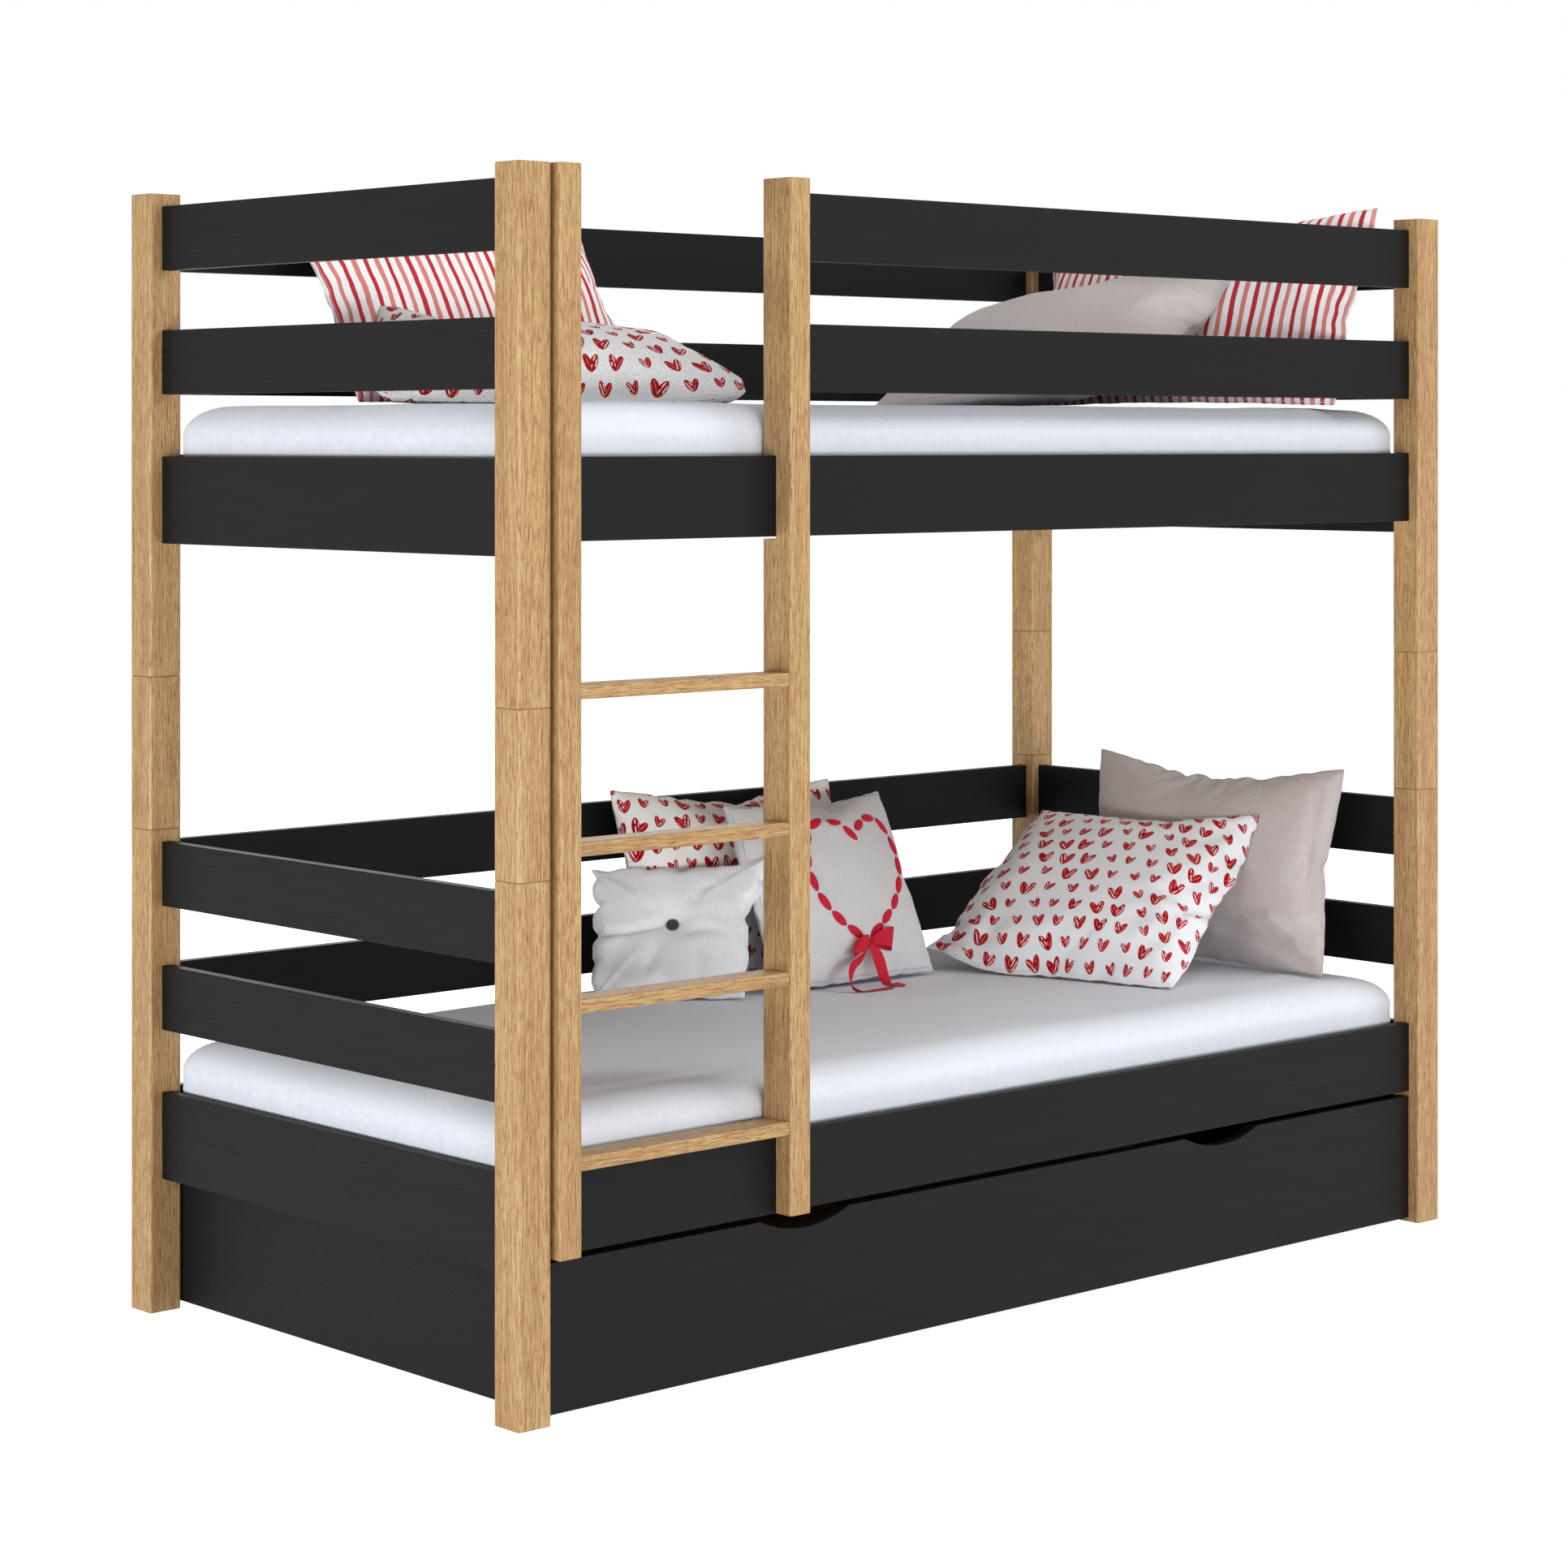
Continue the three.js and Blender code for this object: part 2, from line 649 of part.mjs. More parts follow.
const mattressBase = ({ top }) => top - baseDrop - slatDrop + fit;
const mattressPlace = (level) => [bedLength / 2, bedWidth / 2, mattressBase(level) + mattressThickness / 2];
const mattressTop = (level) => mattressBase(level) + mattressThickness;

for (const level of beds)
  addPiece(bed, `${level.name}_mattress`, mattressSolid(), sheet, mattressPlace(level));

// Pillows, pressed in where they meet the mattress, the boards or a pillow behind them

function pillowGeometry([width, height, thickness], tuft) {
  const points = [];
  const index = [];
  const row = pillowSteps + 1;
  for (const face of [1, -1])
    for (let j = 0; j <= pillowSteps; j += 1)
      for (let i = 0; i <= pillowSteps; i += 1) {
        // steps are closer together near the seams, where the surface curves most
        const s = Math.sin(((2 * i) / pillowSteps - 1) * (Math.PI / 2));
        const t = Math.sin(((2 * j) / pillowSteps - 1) * (Math.PI / 2));
        const x = (width / 2) * s * (1 - pillowPinch * (1 - t * t));
        const y = (height / 2) * t * (1 - pillowPinch * (1 - s * s));
        let z = (thickness / 2) * ((1 - s * s) * (1 - t * t)) ** pillowFullness;
        if (tuft) z *= 1 - tuftDepth * Math.exp(-(x * x + y * y) / (tuftRadius * tuftRadius));
        points.push(new THREE.Vector3(x, y, face * z));
      }
  const at = (face, i, j) => face * row * row + j * row + i;
  for (let j = 0; j < pillowSteps; j += 1)
    for (let i = 0; i < pillowSteps; i += 1) {
      const front = [at(0, i, j), at(0, i + 1, j), at(0, i + 1, j + 1), at(0, i, j + 1)];
      const back = [at(1, i, j), at(1, i + 1, j), at(1, i + 1, j + 1), at(1, i, j + 1)];
      index.push(front[0], front[1], front[2], front[0], front[2], front[3]);
      index.push(back[0], back[2], back[1], back[0], back[3], back[2]);
    }
  const geometry = new THREE.BufferGeometry().setFromPoints(points);
  geometry.setIndex(index);
  return geometry;
}

function pillowMatrix({ level, size, end, fromEnd, fromBack, heading, lean, roll, lift }) {
  const turn = THREE.MathUtils.degToRad(heading);
  const tilt = THREE.MathUtils.degToRad(lean);
  const facing = new THREE.Vector3(Math.cos(turn), Math.sin(turn), 0);
  const across = new THREE.Vector3(-facing.y, facing.x, 0);
  const upwards = new THREE.Vector3(0, 0, Math.cos(tilt)).addScaledVector(facing, -Math.sin(tilt));
  const outwards = across.clone().cross(upwards);
  const x = end === "left" ? fromEnd : bedLength - fromEnd;
  const z = mattressTop(beds[level]) + lift + (size[1] / 2) * Math.cos(tilt);
  const rolled = new THREE.Matrix4().makeRotationZ(THREE.MathUtils.degToRad(roll));
  const stand = new THREE.Matrix4().makeBasis(across, upwards, outwards);
  return stand.setPosition(x, bedWidth - fromBack, z).multiply(rolled);
}

function largestBody(solid) {
  return solid.decompose().reduce((a, b) => (b.volume() > a.volume() ? b : a));
}

function addPillows() {
  const pressed = [[], []];
  beds.forEach((level, i) => {
    const [x, y, z] = mattressPlace(level);
    pressed[i].push(mattressSolid().translate([x, y, z + pressGap]));
  });
  for (const [low, high] of boards)
    for (const list of pressed) list.push(grown(low, high, pressGap));
  for (const pillow of pillows) {
    const place = pillowMatrix(pillow);
    const plain = pillowGeometry(pillow.size, pillow.tuft);
    const shape = (extra) =>
      solidOf(plain.clone().scale(...pillow.size.map((v) => 1 + (2 * extra) / v)).applyMatrix4(place));
    const solid = pressed[pillow.level].reduce((body, other) => body.subtract(other), shape(0));
    addPiece(bed, pillow.name, largestBody(solid), pillow.cloth);
    pressed[pillow.level].push(shape(pressGap));
  }
}

addPillows();

const object = new THREE.Group();
object.add(bed);

export default object;
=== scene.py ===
# Bunk bed with a ladder, a drawer on castors, two mattresses and nine pillows. Metres, +Z up,
# the ladder side towards -Y.
import math
import bpy
import numpy as np
from mathutils import Matrix, Vector
from mathutils.bvhtree import BVHTree


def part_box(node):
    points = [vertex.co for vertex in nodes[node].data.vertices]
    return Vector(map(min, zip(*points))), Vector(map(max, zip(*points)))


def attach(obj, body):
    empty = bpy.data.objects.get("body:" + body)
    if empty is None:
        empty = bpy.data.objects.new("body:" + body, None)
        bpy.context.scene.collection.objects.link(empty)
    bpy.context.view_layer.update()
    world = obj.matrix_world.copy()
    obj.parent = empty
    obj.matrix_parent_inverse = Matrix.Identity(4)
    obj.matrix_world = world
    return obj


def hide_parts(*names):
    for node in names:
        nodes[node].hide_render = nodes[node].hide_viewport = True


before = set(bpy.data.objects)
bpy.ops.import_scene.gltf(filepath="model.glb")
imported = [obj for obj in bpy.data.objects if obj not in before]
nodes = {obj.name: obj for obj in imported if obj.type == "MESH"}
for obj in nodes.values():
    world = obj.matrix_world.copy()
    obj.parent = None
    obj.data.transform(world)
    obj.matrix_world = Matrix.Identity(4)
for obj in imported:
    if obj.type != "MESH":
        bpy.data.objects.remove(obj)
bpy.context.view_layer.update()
scene = bpy.context.scene
seed = 7

print("frame loaded:", len(nodes), "nodes")


# Small helpers for node trees

def tone(red, green, blue):
    # an sRGB colour, 0 to 255, as the linear colour that a socket takes
    def linear(value):
        share = value / 255
        return share / 12.92 if share <= 0.04045 else ((share + 0.055) / 1.055) ** 2.4
    return (linear(red), linear(green), linear(blue), 1)


def scaled(color, factor):
    return tuple(min(1.0, channel * factor) for channel in color[:3]) + (1,)


class Value:
    # an output in a node tree; arithmetic on it adds the nodes that work it out
    def __init__(self, tree, socket):
        self.tree, self.socket = tree, socket

    def __add__(self, other):
        return calc("ADD", self, other)

    def __sub__(self, other):
        return calc("SUBTRACT", self, other)

    def __mul__(self, other):
        return calc("MULTIPLY", self, other)

    def __truediv__(self, other):
        return calc("DIVIDE", self, other)


def fill(tree, node, inputs):
    # gives a node its inputs, each a Value or a constant
    for key, value in inputs.items():
        if isinstance(value, Value):
            tree.links.new(value.socket, node.inputs[key])
        else:
            node.inputs[key].default_value = value


def outputsOf(tree, node):
    return {socket.name: Value(tree, socket) for socket in node.outputs}


def source(tree, kind, output=0, inputs=None, **settings):
    # adds a node to a tree and returns one of its outputs
    node = tree.nodes.new(kind)
    for key, value in settings.items():
        setattr(node, key, value)
    fill(tree, node, inputs or {})
    return Value(tree, node.outputs[output])


def addNode(kind, inputs, output=0, **settings):
    # the same in the tree of the first Value among the inputs
    tree = next(value.tree for value in inputs.values() if isinstance(value, Value))
    return source(tree, kind, output, inputs, **settings)


def calc(operation, *values, clamp=False):
    # maths on Values and constants, on all three parts where the first Value is a vector or a colour
    first = next(value for value in values if isinstance(value, Value))
    inputs = dict(enumerate(values))
    if first.socket.type in ("VECTOR", "RGBA"):
        return addNode("ShaderNodeVectorMath", inputs, operation=operation)
    return addNode("ShaderNodeMath", inputs, operation=operation, use_clamp=clamp)


def ramp(value, fromLow, fromHigh, toLow=0.0, toHigh=1.0):
    inputs = {"Value": value, "From Min": fromLow, "From Max": fromHigh, "To Min": toLow, "To Max": toHigh}
    return addNode("ShaderNodeMapRange", inputs, "Result", interpolation_type="SMOOTHSTEP")


def mixed(share, first, second):
    return addNode("ShaderNodeMix", {0: share, 6: first, 7: second}, 2, data_type="RGBA")


def noise(point, detail=2.0, roughness=0.5, output="Fac", scale=1.0):
    inputs = {"Vector": point, "Scale": scale, "Detail": detail, "Roughness": roughness}
    return addNode("ShaderNodeTexNoise", inputs, output, noise_dimensions="3D")


def joined(x, y, z=0.0):
    return addNode("ShaderNodeCombineXYZ", {0: x, 1: y, 2: z})


def parted(vector):
    node = vector.tree.nodes.new("ShaderNodeSeparateXYZ")
    fill(vector.tree, node, {0: vector})
    return list(outputsOf(vector.tree, node).values())


def newGroup(name, inputs, outputs):
    # a shader group whose inputs are vectors (None), numbers and colours (tuples); its outputs are
    # numbers, apart from Color
    tree = bpy.data.node_groups.new(name, "ShaderNodeTree")
    kinds = {type(None): "NodeSocketVector", float: "NodeSocketFloat", tuple: "NodeSocketColor"}
    for label, value in inputs.items():
        socket = tree.interface.new_socket(name=label, in_out="INPUT", socket_type=kinds[type(value)])
        if value is not None:
            socket.default_value = value
    for label in outputs:
        kind = kinds[tuple if label == "Color" else float]
        tree.interface.new_socket(name=label, in_out="OUTPUT", socket_type=kind)
    given = outputsOf(tree, tree.nodes.new("NodeGroupInput"))
    end = tree.nodes.new("NodeGroupOutput")

    def give(**results):
        fill(tree, end, results)
        return tree

    return given, give


# Shared effects

half3 = (0.5, 0.5, 0.5)  # for all three parts; also the middle of a noise colour


def makeGrainGroup():
    # oak grain along Z: growth rings, pores as long thin dashes that follow them, slow changes of tone
    inputs = {
        "Vector": None, "Ring pitch": 0.0068, "Wander": 0.034, "Light": tone(195, 164, 112),
        "Middle": tone(174, 139, 90), "Streak": tone(150, 102, 56), "Pore": tone(134, 70, 30),
    }
    given, give = newGroup("oakGrain", inputs, ("Color", "Height", "Pores"))
    bend = noise(given["Vector"] * (8, 8, 1.7), output="Color") - half3
    point = given["Vector"] + bend * joined(given["Wander"], given["Wander"])
    x, y, _ = parted(point)
    ring = calc("FRACT", (x + y * 0.83) / given["Ring pitch"])
    early = ramp(ring, 0.0, 0.2) * ramp(ring, 0.85, 0.3)
    fibre = noise(point * (540, 540, 36), 3.0, 0.7)
    slow = noise(point * (38, 38, 1.6))
    lines = noise(point * (430, 430, 4.5), 3.0, 0.65)
    dash = noise(point * (800, 800, 48), 2.0, 0.6)
    pores = ramp(dash - ramp(early, 0.0, 1.0, 0.63, 0.56), 0.0, 0.08)
    body = mixed(ramp(slow, 0.32, 0.68), given["Middle"], given["Light"])
    layers = (
        (ramp(slow, 0.58, 0.74) * 0.35, "Streak"), (early * 0.12, "Streak"),
        (ramp(lines, 0.50, 0.62) * 0.62, "Streak"), (ramp(lines, 0.47, 0.36) * 0.55, "Light"),
        (ramp(fibre, 0.49, 0.64) * 0.85, "Streak"), (ramp(fibre, 0.47, 0.33) * 0.8, "Light"),
        (pores * 0.6, "Pore"),
    )
    for share, label in layers:
        body = mixed(share, body, given[label])
    return give(Color=body, Pores=pores, Height=pores * -1.0 + fibre * 0.35)


def makeWeaveGroup():
    # threads that cross on the cover's own UV, in metres, with thick and thin stretches
    given, give = newGroup("weave", {"Vector": None, "Thread": 0.0012, "Slub": 0.5}, ("Height", "Shade"))
    u, v, _ = parted(given["Vector"])
    rate = calc("DIVIDE", math.pi, given["Thread"])
    warp, weft = (calc("ABSOLUTE", calc("SINE", way * rate)) for way in (u, v))
    along, down = (noise(given["Vector"] * scales) for scales in ((38, 640, 1), (640, 38, 1)))
    slub = (along + down - 1.0) * given["Slub"]
    return give(Height=(warp + weft) * 0.5 + slub * 3.0, Shade=slub)


# how far each heart may move in its cell and turn, its sizes, the wobble of its outline, its brush strokes,
# and its drops: place beside and over the middle, lean in radians, half width and half length
heartLook = {
    "move": (0.26, 0.20, 0), "turn": 0.9, "sizes": (0.74, 1.10), "wobble": (0.035, 0.035, 0), "strokes": 7.4,
    "aside": 0.36, "raised": 0.10, "lean": 0.50, "width": 0.47, "length": 0.98,
}


def lobe(x, y):
    # one long drop of a heart: its own coordinates across and along, and 1 on its outline
    offX, offY = calc("ABSOLUTE", x) - heartLook["aside"], y - heartLook["raised"]
    sine, cosine = math.sin(heartLook["lean"]), math.cos(heartLook["lean"])
    across = offX * cosine - offY * sine
    along = offX * sine + offY * cosine
    a, b = across / heartLook["width"], along / heartLook["length"]
    return across, along, calc("SQRT", a * a + b * b)


def makeHeartGroup():
    # small brushed hearts of two drops each, every one in its own cell with its own turn, size and place
    inputs = {"Vector": None, "Pitch": 0.041, "Size": 0.34, "Tall": 1.0, "Turn": 0.0}
    given, give = newGroup("brushedHearts", inputs, ("Mask", "Shade"))
    u, v, _ = parted(given["Vector"])
    row = v / given["Pitch"]
    rowNumber = calc("FLOOR", row)
    column = u / given["Pitch"] + calc("FLOORED_MODULO", rowNumber, 2.0) * 0.5
    cell = joined(calc("FLOOR", column), rowNumber, seed)
    chance = addNode("ShaderNodeTexWhiteNoise", {"Vector": cell}, "Color", noise_dimensions="3D")
    turnChance, sizeChance, sideChance = parted(chance)
    spot = joined(calc("FRACT", column), calc("FRACT", row)) - (0.5, 0.5, 0)
    spot = spot + (chance - half3) * heartLook["move"]
    wobble = noise(given["Vector"] * (260, 260, 0), output="Color")
    spot = spot + (wobble - half3) * heartLook["wobble"]
    turn = (turnChance - 0.5) * heartLook["turn"] + given["Turn"]
    spot = addNode("ShaderNodeVectorRotate", {"Vector": spot, "Angle": turn}, rotation_type="Z_AXIS")
    size = given["Size"] * ramp(sizeChance, 0.25, 0.75, *heartLook["sizes"])
    x, y, _ = parted(spot)
    x, y = x / size, y / (size * given["Tall"])
    across, along, field = lobe(x, y)
    inside, core = ramp(field, 1.03, 0.95), ramp(field, 0.84, 0.74)
    salt = sideChance * 60.0 + calc("SIGN", x) * 7.0
    sway = noise(joined(along * 1.6, salt), 1.0)
    strokes = heartLook["strokes"] / heartLook["width"]
    stroke = calc("SINE", across * strokes + sway * 2.2 + salt)
    limit = ramp(x * calc("SIGN", sideChance - 0.5), -0.02, 0.02, 0.42, 0.92)
    rest = noise(joined(along * 2.4, across * 2.0, salt), 1.0)
    gap = ramp(stroke - limit, -0.05, 0.16) * ramp(rest, 0.36, 0.46) * core
    mask = calc("MULTIPLY", inside, calc("SUBTRACT", 1.0, gap), clamp=True)
    return give(Mask=mask, Shade=ramp(rest, 0.35, 0.65))


stripeLook = {"wander": 0.007, "widths": (0.42, 0.54), "edge": 0.10}


def makeStripeGroup():
    # hand-drawn stripes across u: a dark one and a pale one by turns, of uneven width
    given, give = newGroup("drawnStripes", {"Vector": None, "Pitch": 0.0192, "Share": 0.44}, ("Mask", "Pale"))
    slow = noise(given["Vector"] * (14, 9, 0), 1.0)
    edge = noise(given["Vector"] * (260, 55, 0))
    count = (parted(given["Vector"])[0] + (slow - 0.5) * stripeLook["wander"]) / given["Pitch"]
    stripe = calc("FLOOR", count)
    chance = addNode("ShaderNodeTexWhiteNoise", {"W": stripe}, "Value", noise_dimensions="1D")
    middle = calc("ABSOLUTE", calc("FRACT", count) - 0.5)
    width = given["Share"] * ramp(chance, 0.0, 1.0, *stripeLook["widths"])
    width = width + (edge - 0.5) * stripeLook["edge"]
    return give(Mask=ramp(middle - width, 0.02, -0.02), Pale=calc("FLOORED_MODULO", stripe, 2.0))


def makeTwillGroup():
    # a thick cloth with slanted ribs broken into short floats
    given, give = newGroup("twill", {"Vector": None, "Rib": 0.0042}, ("Height", "Shade"))
    u, v, _ = parted(given["Vector"])
    slant = 0.6
    rate = calc("DIVIDE", math.tau, given["Rib"])
    rib = calc("SINE", (u + v * slant) * rate)
    cut = calc("SINE", (v - u * slant) * rate)
    nap = noise(given["Vector"], scale=900.0)
    return give(Height=rib + cut * 0.5 + nap, Shade=(rib - 0.2) * 0.25)


groups = {
    "grain": makeGrainGroup(), "weave": makeWeaveGroup(), "hearts": makeHeartGroup(),
    "stripes": makeStripeGroup(), "twill": makeTwillGroup(),
}


def useGroup(name, inputs):
    tree = inputs["Vector"].tree
    node = tree.nodes.new("ShaderNodeGroup")
    node.node_tree = groups[name]
    fill(tree, node, inputs)
    return outputsOf(tree, node)


def newMaterial(name, settings):
    # a Principled material; constant values sit on its own sockets
    material = bpy.data.materials.new(name)
    material.use_nodes = True
    fill(material.node_tree, material.node_tree.nodes["Principled BSDF"], settings)
    return material


def connect(material, height, depth, inputs):
    # gives the shader its Values, and a bump whose height of 1 is depth metres
    bump = addNode("ShaderNodeBump", {"Height": height, "Distance": depth, "Strength": 1.0})
    tree = material.node_tree
    fill(tree, tree.nodes["Principled BSDF"], {**inputs, "Normal": bump})
    return material


def objectPoint(material):
    return source(material.node_tree, "ShaderNodeTexCoord", "Object")


# Finishes of wood, paint and metal

oakLook = {
    "roughness": 0.52,
    "offsets": {"lower": (0.013, 0.004, 0.31), "spacer": (0.19, 0.11, 0.87), "upper": (0.37, 0.29, 1.63),
                "stiles": (0.53, 0.47, 2.21), "rungs": (0.71, 0.63, 3.07)},
    "poreDepth": 0.0004,
}


def makeOak(part):
    material = newMaterial(f"oak_{part}", {"Roughness": oakLook["roughness"]})
    point = objectPoint(material)
    if part == "rungs":  # their grain runs along X
        x, y, z = parted(point)
        point = joined(z, y, x)
    grain = useGroup("grain", {"Vector": point + oakLook["offsets"][part]})
    rough = ramp(grain["Pores"], 0.0, 1.0, oakLook["roughness"] - 0.04, oakLook["roughness"] + 0.2)
    inputs = {"Base Color": grain["Color"], "Roughness": rough}
    return connect(material, grain["Height"], oakLook["poreDepth"], inputs)


def boardPoint(material, alongY):
    # the object's own coordinates with the board's length first
    point = objectPoint(material)
    x, y, z = parted(point)
    return joined(y, x, z) if alongY else point


paintLook = {
    "body": tone(9, 9, 10), "light": tone(16, 16, 17), "roughness": 0.55, "gloss": 0.15,
    "brushDepth": 0.00025,
}


def makeBlackPaint(name, alongY):
    # lacquer over wood, with the grain of the board just showing
    roughness, light = paintLook["roughness"], paintLook["light"]
    material = newMaterial(name, {"Roughness": roughness, "Specular IOR Level": paintLook["gloss"]})
    point = boardPoint(material, alongY) * (5.0, 260.0, 260.0)
    grain = noise(point, 4.0, 0.6)
    wide = noise(point * (0.4, 0.06, 0.06))
    body = mixed(ramp(grain, 0.45, 0.75, 0.0, 0.7), paintLook["body"], light)
    body = mixed(ramp(wide, 0.5, 0.8, 0.0, 0.35), body, light)
    rough = ramp(grain, 0.3, 0.7, roughness - 0.06, roughness + 0.08)
    return connect(material, grain, paintLook["brushDepth"], {"Base Color": body, "Roughness": rough})


pineLook = {
    "light": tone(226, 198, 152), "dark": tone(203, 163, 108), "roughness": 0.62, "pitch": 0.009,
    "panel": 0.008,  # thickness of the drawer's bottom
}


castorLook = {
    "steel": (tone(150, 152, 155), tone(182, 184, 186)), "rubber": (tone(48, 48, 50), tone(66, 66, 68)),
}


def makePine(name, alongY, metalBelow=None):
    # bare pine; metalBelow is the height under which the same node is zinc-plated castor steel
    roughness = pineLook["roughness"]
    material = newMaterial(name, {"Roughness": roughness})
    board = boardPoint(material, alongY)
    slow = noise(board * (1.1, 14.0, 14.0), 3.0)
    fibre = noise(board * (12.0, 700.0, 700.0))
    phase = parted(board)[1] / pineLook["pitch"] + slow * 9.0
    ring = ramp(calc("PINGPONG", phase, 0.5), 0.1, 0.5)
    share = calc("ADD", ring * 0.75, fibre * 0.3, clamp=True)
    color = mixed(share, pineLook["light"], pineLook["dark"])
    rough = ramp(fibre, 0.3, 0.7, roughness - 0.05, roughness + 0.08)
    inputs = {"Base Color": color, "Roughness": rough}
    if metalBelow is not None:
        point = objectPoint(material)
        metal = calc("LESS_THAN", parted(point)[2], metalBelow)
        steel = mixed(noise(point, 3.0, scale=160.0), *castorLook["steel"])
        color, rough = mixed(metal, color, steel), rough - metal * 0.3
        inputs = {"Base Color": color, "Roughness": rough, "Metallic": metal}
    return connect(material, fibre, 0.0002, inputs)


def makeRubber():
    material = newMaterial("castor_rubber", {"Roughness": 0.7})
    dust = noise(objectPoint(material), 3.0, scale=300.0)
    color = mixed(dust, *castorLook["rubber"])
    inputs = {"Base Color": color, "Roughness": ramp(dust, 0.3, 0.7, 0.62, 0.8)}
    return connect(material, dust, 0.0002, inputs)


def dressFrame():
    # a node takes the first finish whose word is in its name
    sides, ends = makeBlackPaint("black_paint_sides", False), makeBlackPaint("black_paint_ends", True)
    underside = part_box("drawer_bottom")[1].z - pineLook["panel"]
    finishes = {
        "lower_post": makeOak("lower"), "upper_post": makeOak("upper"), "spacer": makeOak("spacer"),
        "ladder_stile": makeOak("stiles"), "rung": makeOak("rungs"),
        "slatted_base": makePine("pine_slats", True),
        "drawer_bottom": makePine("pine_drawer_bottom", False, metalBelow=underside - 0.0001),
        "castor_wheel": makeRubber(),
        "drawer": sides, "_front_": sides, "_back_": sides, "_left_": ends, "_right_": ends,
    }
    for name, node in nodes.items():
        finish = next((finish for word, finish in finishes.items() if word in name), None)
        if finish:
            node.data.materials.clear()
            node.data.materials.append(finish)


dressFrame()
print("wood, paint and metal done")


# Fabrics

sheetLook = {"dark": tone(221, 226, 236), "light": tone(231, 236, 245), "roughness": 0.85, "sheen": 0.15}


def makeSheetCotton():
    settings = {
        "Roughness": sheetLook["roughness"], "Sheen Weight": sheetLook["sheen"], "Sheen Roughness": 0.5}
    material = newMaterial("sheet_cotton", settings)
    point = objectPoint(material)
    weave = (noise(point * (60, 900, 900)) + noise(point * (900, 60, 60))) * 0.5
    color = mixed(ramp(weave, 0.35, 0.65), sheetLook["dark"], sheetLook["light"])
    return connect(material, weave, 0.0005, {"Base Color": color})


# the sewn line beside the seam: where it begins, is full, fades and ends, all from the seam; its shade, dip
sewnLine = {"begin": 0.004, "full": 0.007, "fade": 0.008, "end": 0.011, "shade": 0.25, "dip": 1.6}
clothLook = {"roughness": 0.9, "gloss": 0.08, "dark": 0.72, "light": 1.08, "even": 0.55}


def clothMaterial(name, body, thread, slub, bumpDepth, shadeDepth, paint=None, sheen=0.25, twill=False):
    # a woven cover: body colour, thread shadows, an optional print, and a sewn edge
    settings = {
        "Roughness": clothLook["roughness"], "Sheen Weight": sheen, "Specular IOR Level": clothLook["gloss"]}
    material = newMaterial(name, settings)
    tree = material.node_tree
    point = source(tree, "ShaderNodeUVMap", "UV")
    if twill:
        weave = useGroup("twill", {"Vector": point, "Rib": thread})
    else:
        weave = useGroup("weave", {"Vector": point, "Thread": thread, "Slub": slub})
    dark, light = scaled(body, clothLook["dark"]), scaled(body, clothLook["light"])
    color = mixed(ramp(weave["Shade"], -shadeDepth, shadeDepth), dark, light)
    color = mixed(clothLook["even"], color, body)
    if paint:
        color = paint(point, color)
    gap = source(tree, "ShaderNodeAttribute", "Fac", attribute_name="fromSeam", attribute_type="GEOMETRY")
    line = ramp(gap, sewnLine["begin"], sewnLine["full"]) * ramp(gap, sewnLine["end"], sewnLine["fade"])
    color = mixed(line * sewnLine["shade"], color, dark)
    return connect(material, weave["Height"] - line * sewnLine["dip"], bumpDepth, {"Base Color": color})


printInks = {
    "hearts": (tone(160, 2, 6), tone(196, 12, 18)), "stripes": (tone(198, 52, 62), tone(224, 134, 124)),
}


def heartPrint(pitch, size, tall, turn=0.0):
    def paint(point, color):
        inputs = {"Vector": point, "Pitch": pitch, "Size": size, "Tall": tall, "Turn": turn}
        hearts = useGroup("hearts", inputs)
        ink = mixed(hearts["Shade"], *printInks["hearts"])
        return mixed(hearts["Mask"], color, ink)
    return paint


def stripePrint(point, color):
    stripes = useGroup("stripes", {"Vector": point})
    ink = mixed(stripes["Pale"], *printInks["stripes"])
    return mixed(stripes["Mask"], color, ink)


def makePlainCloth(name, body, roughness, sheen):
    inputs = {"Roughness": roughness, "Sheen Weight": sheen, "Specular IOR Level": 0.15}
    material = newMaterial(name, inputs)
    threads = noise(objectPoint(material) * (900, 900, 900))
    color = mixed(ramp(threads, 0.3, 0.6), scaled(body, 0.7), body)
    return connect(material, threads, 0.0003, {"Base Color": color})


# after the body colour: thread, slub, depth of the bump and of the thread shadows
white = tone(255, 255, 255)
fineCotton = (0.0009, 0.12, 0.00012, 0.3)
fabrics = {
    "sheet": makeSheetCotton(),
    "hearts": clothMaterial("hearts_cotton", white, *fineCotton, heartPrint(0.0405, 0.35, 1.1, 0.2), 0.03),
    "heartsTall": clothMaterial(
        "hearts_cotton_leant", tone(246, 249, 255), *fineCotton, heartPrint(0.0390, 0.30, 1.3, -0.12), 0.03),
    "heartsCoarse": clothMaterial(
        "hearts_terry", white, 0.0036, 0.5, 0.0006, 0.5, heartPrint(0.0400, 0.30, 1.3), 0.03, twill=True),
    "stripes": clothMaterial("striped_cotton", white, *fineCotton, stripePrint, 0.03),
    "greyLinen": clothMaterial("grey_linen", tone(214, 204, 201), 0.0015, 0.5, 0.0006, 0.2),
    "paleLinen": clothMaterial("pale_linen", tone(223, 222, 225), 0.0030, 0.3, 0.0009, 0.2),
    "paleCotton": clothMaterial("pale_cotton", tone(247, 250, 255), 0.0013, 0.5, 0.0004, 0.3),
    "ribbon": makePlainCloth("ribbon_satin", tone(204, 28, 54), 0.6, 0.03),
    "button": makePlainCloth("button_horn", tone(66, 68, 70), 0.38, 0.0),
}
print("fabrics done")


# Meshes

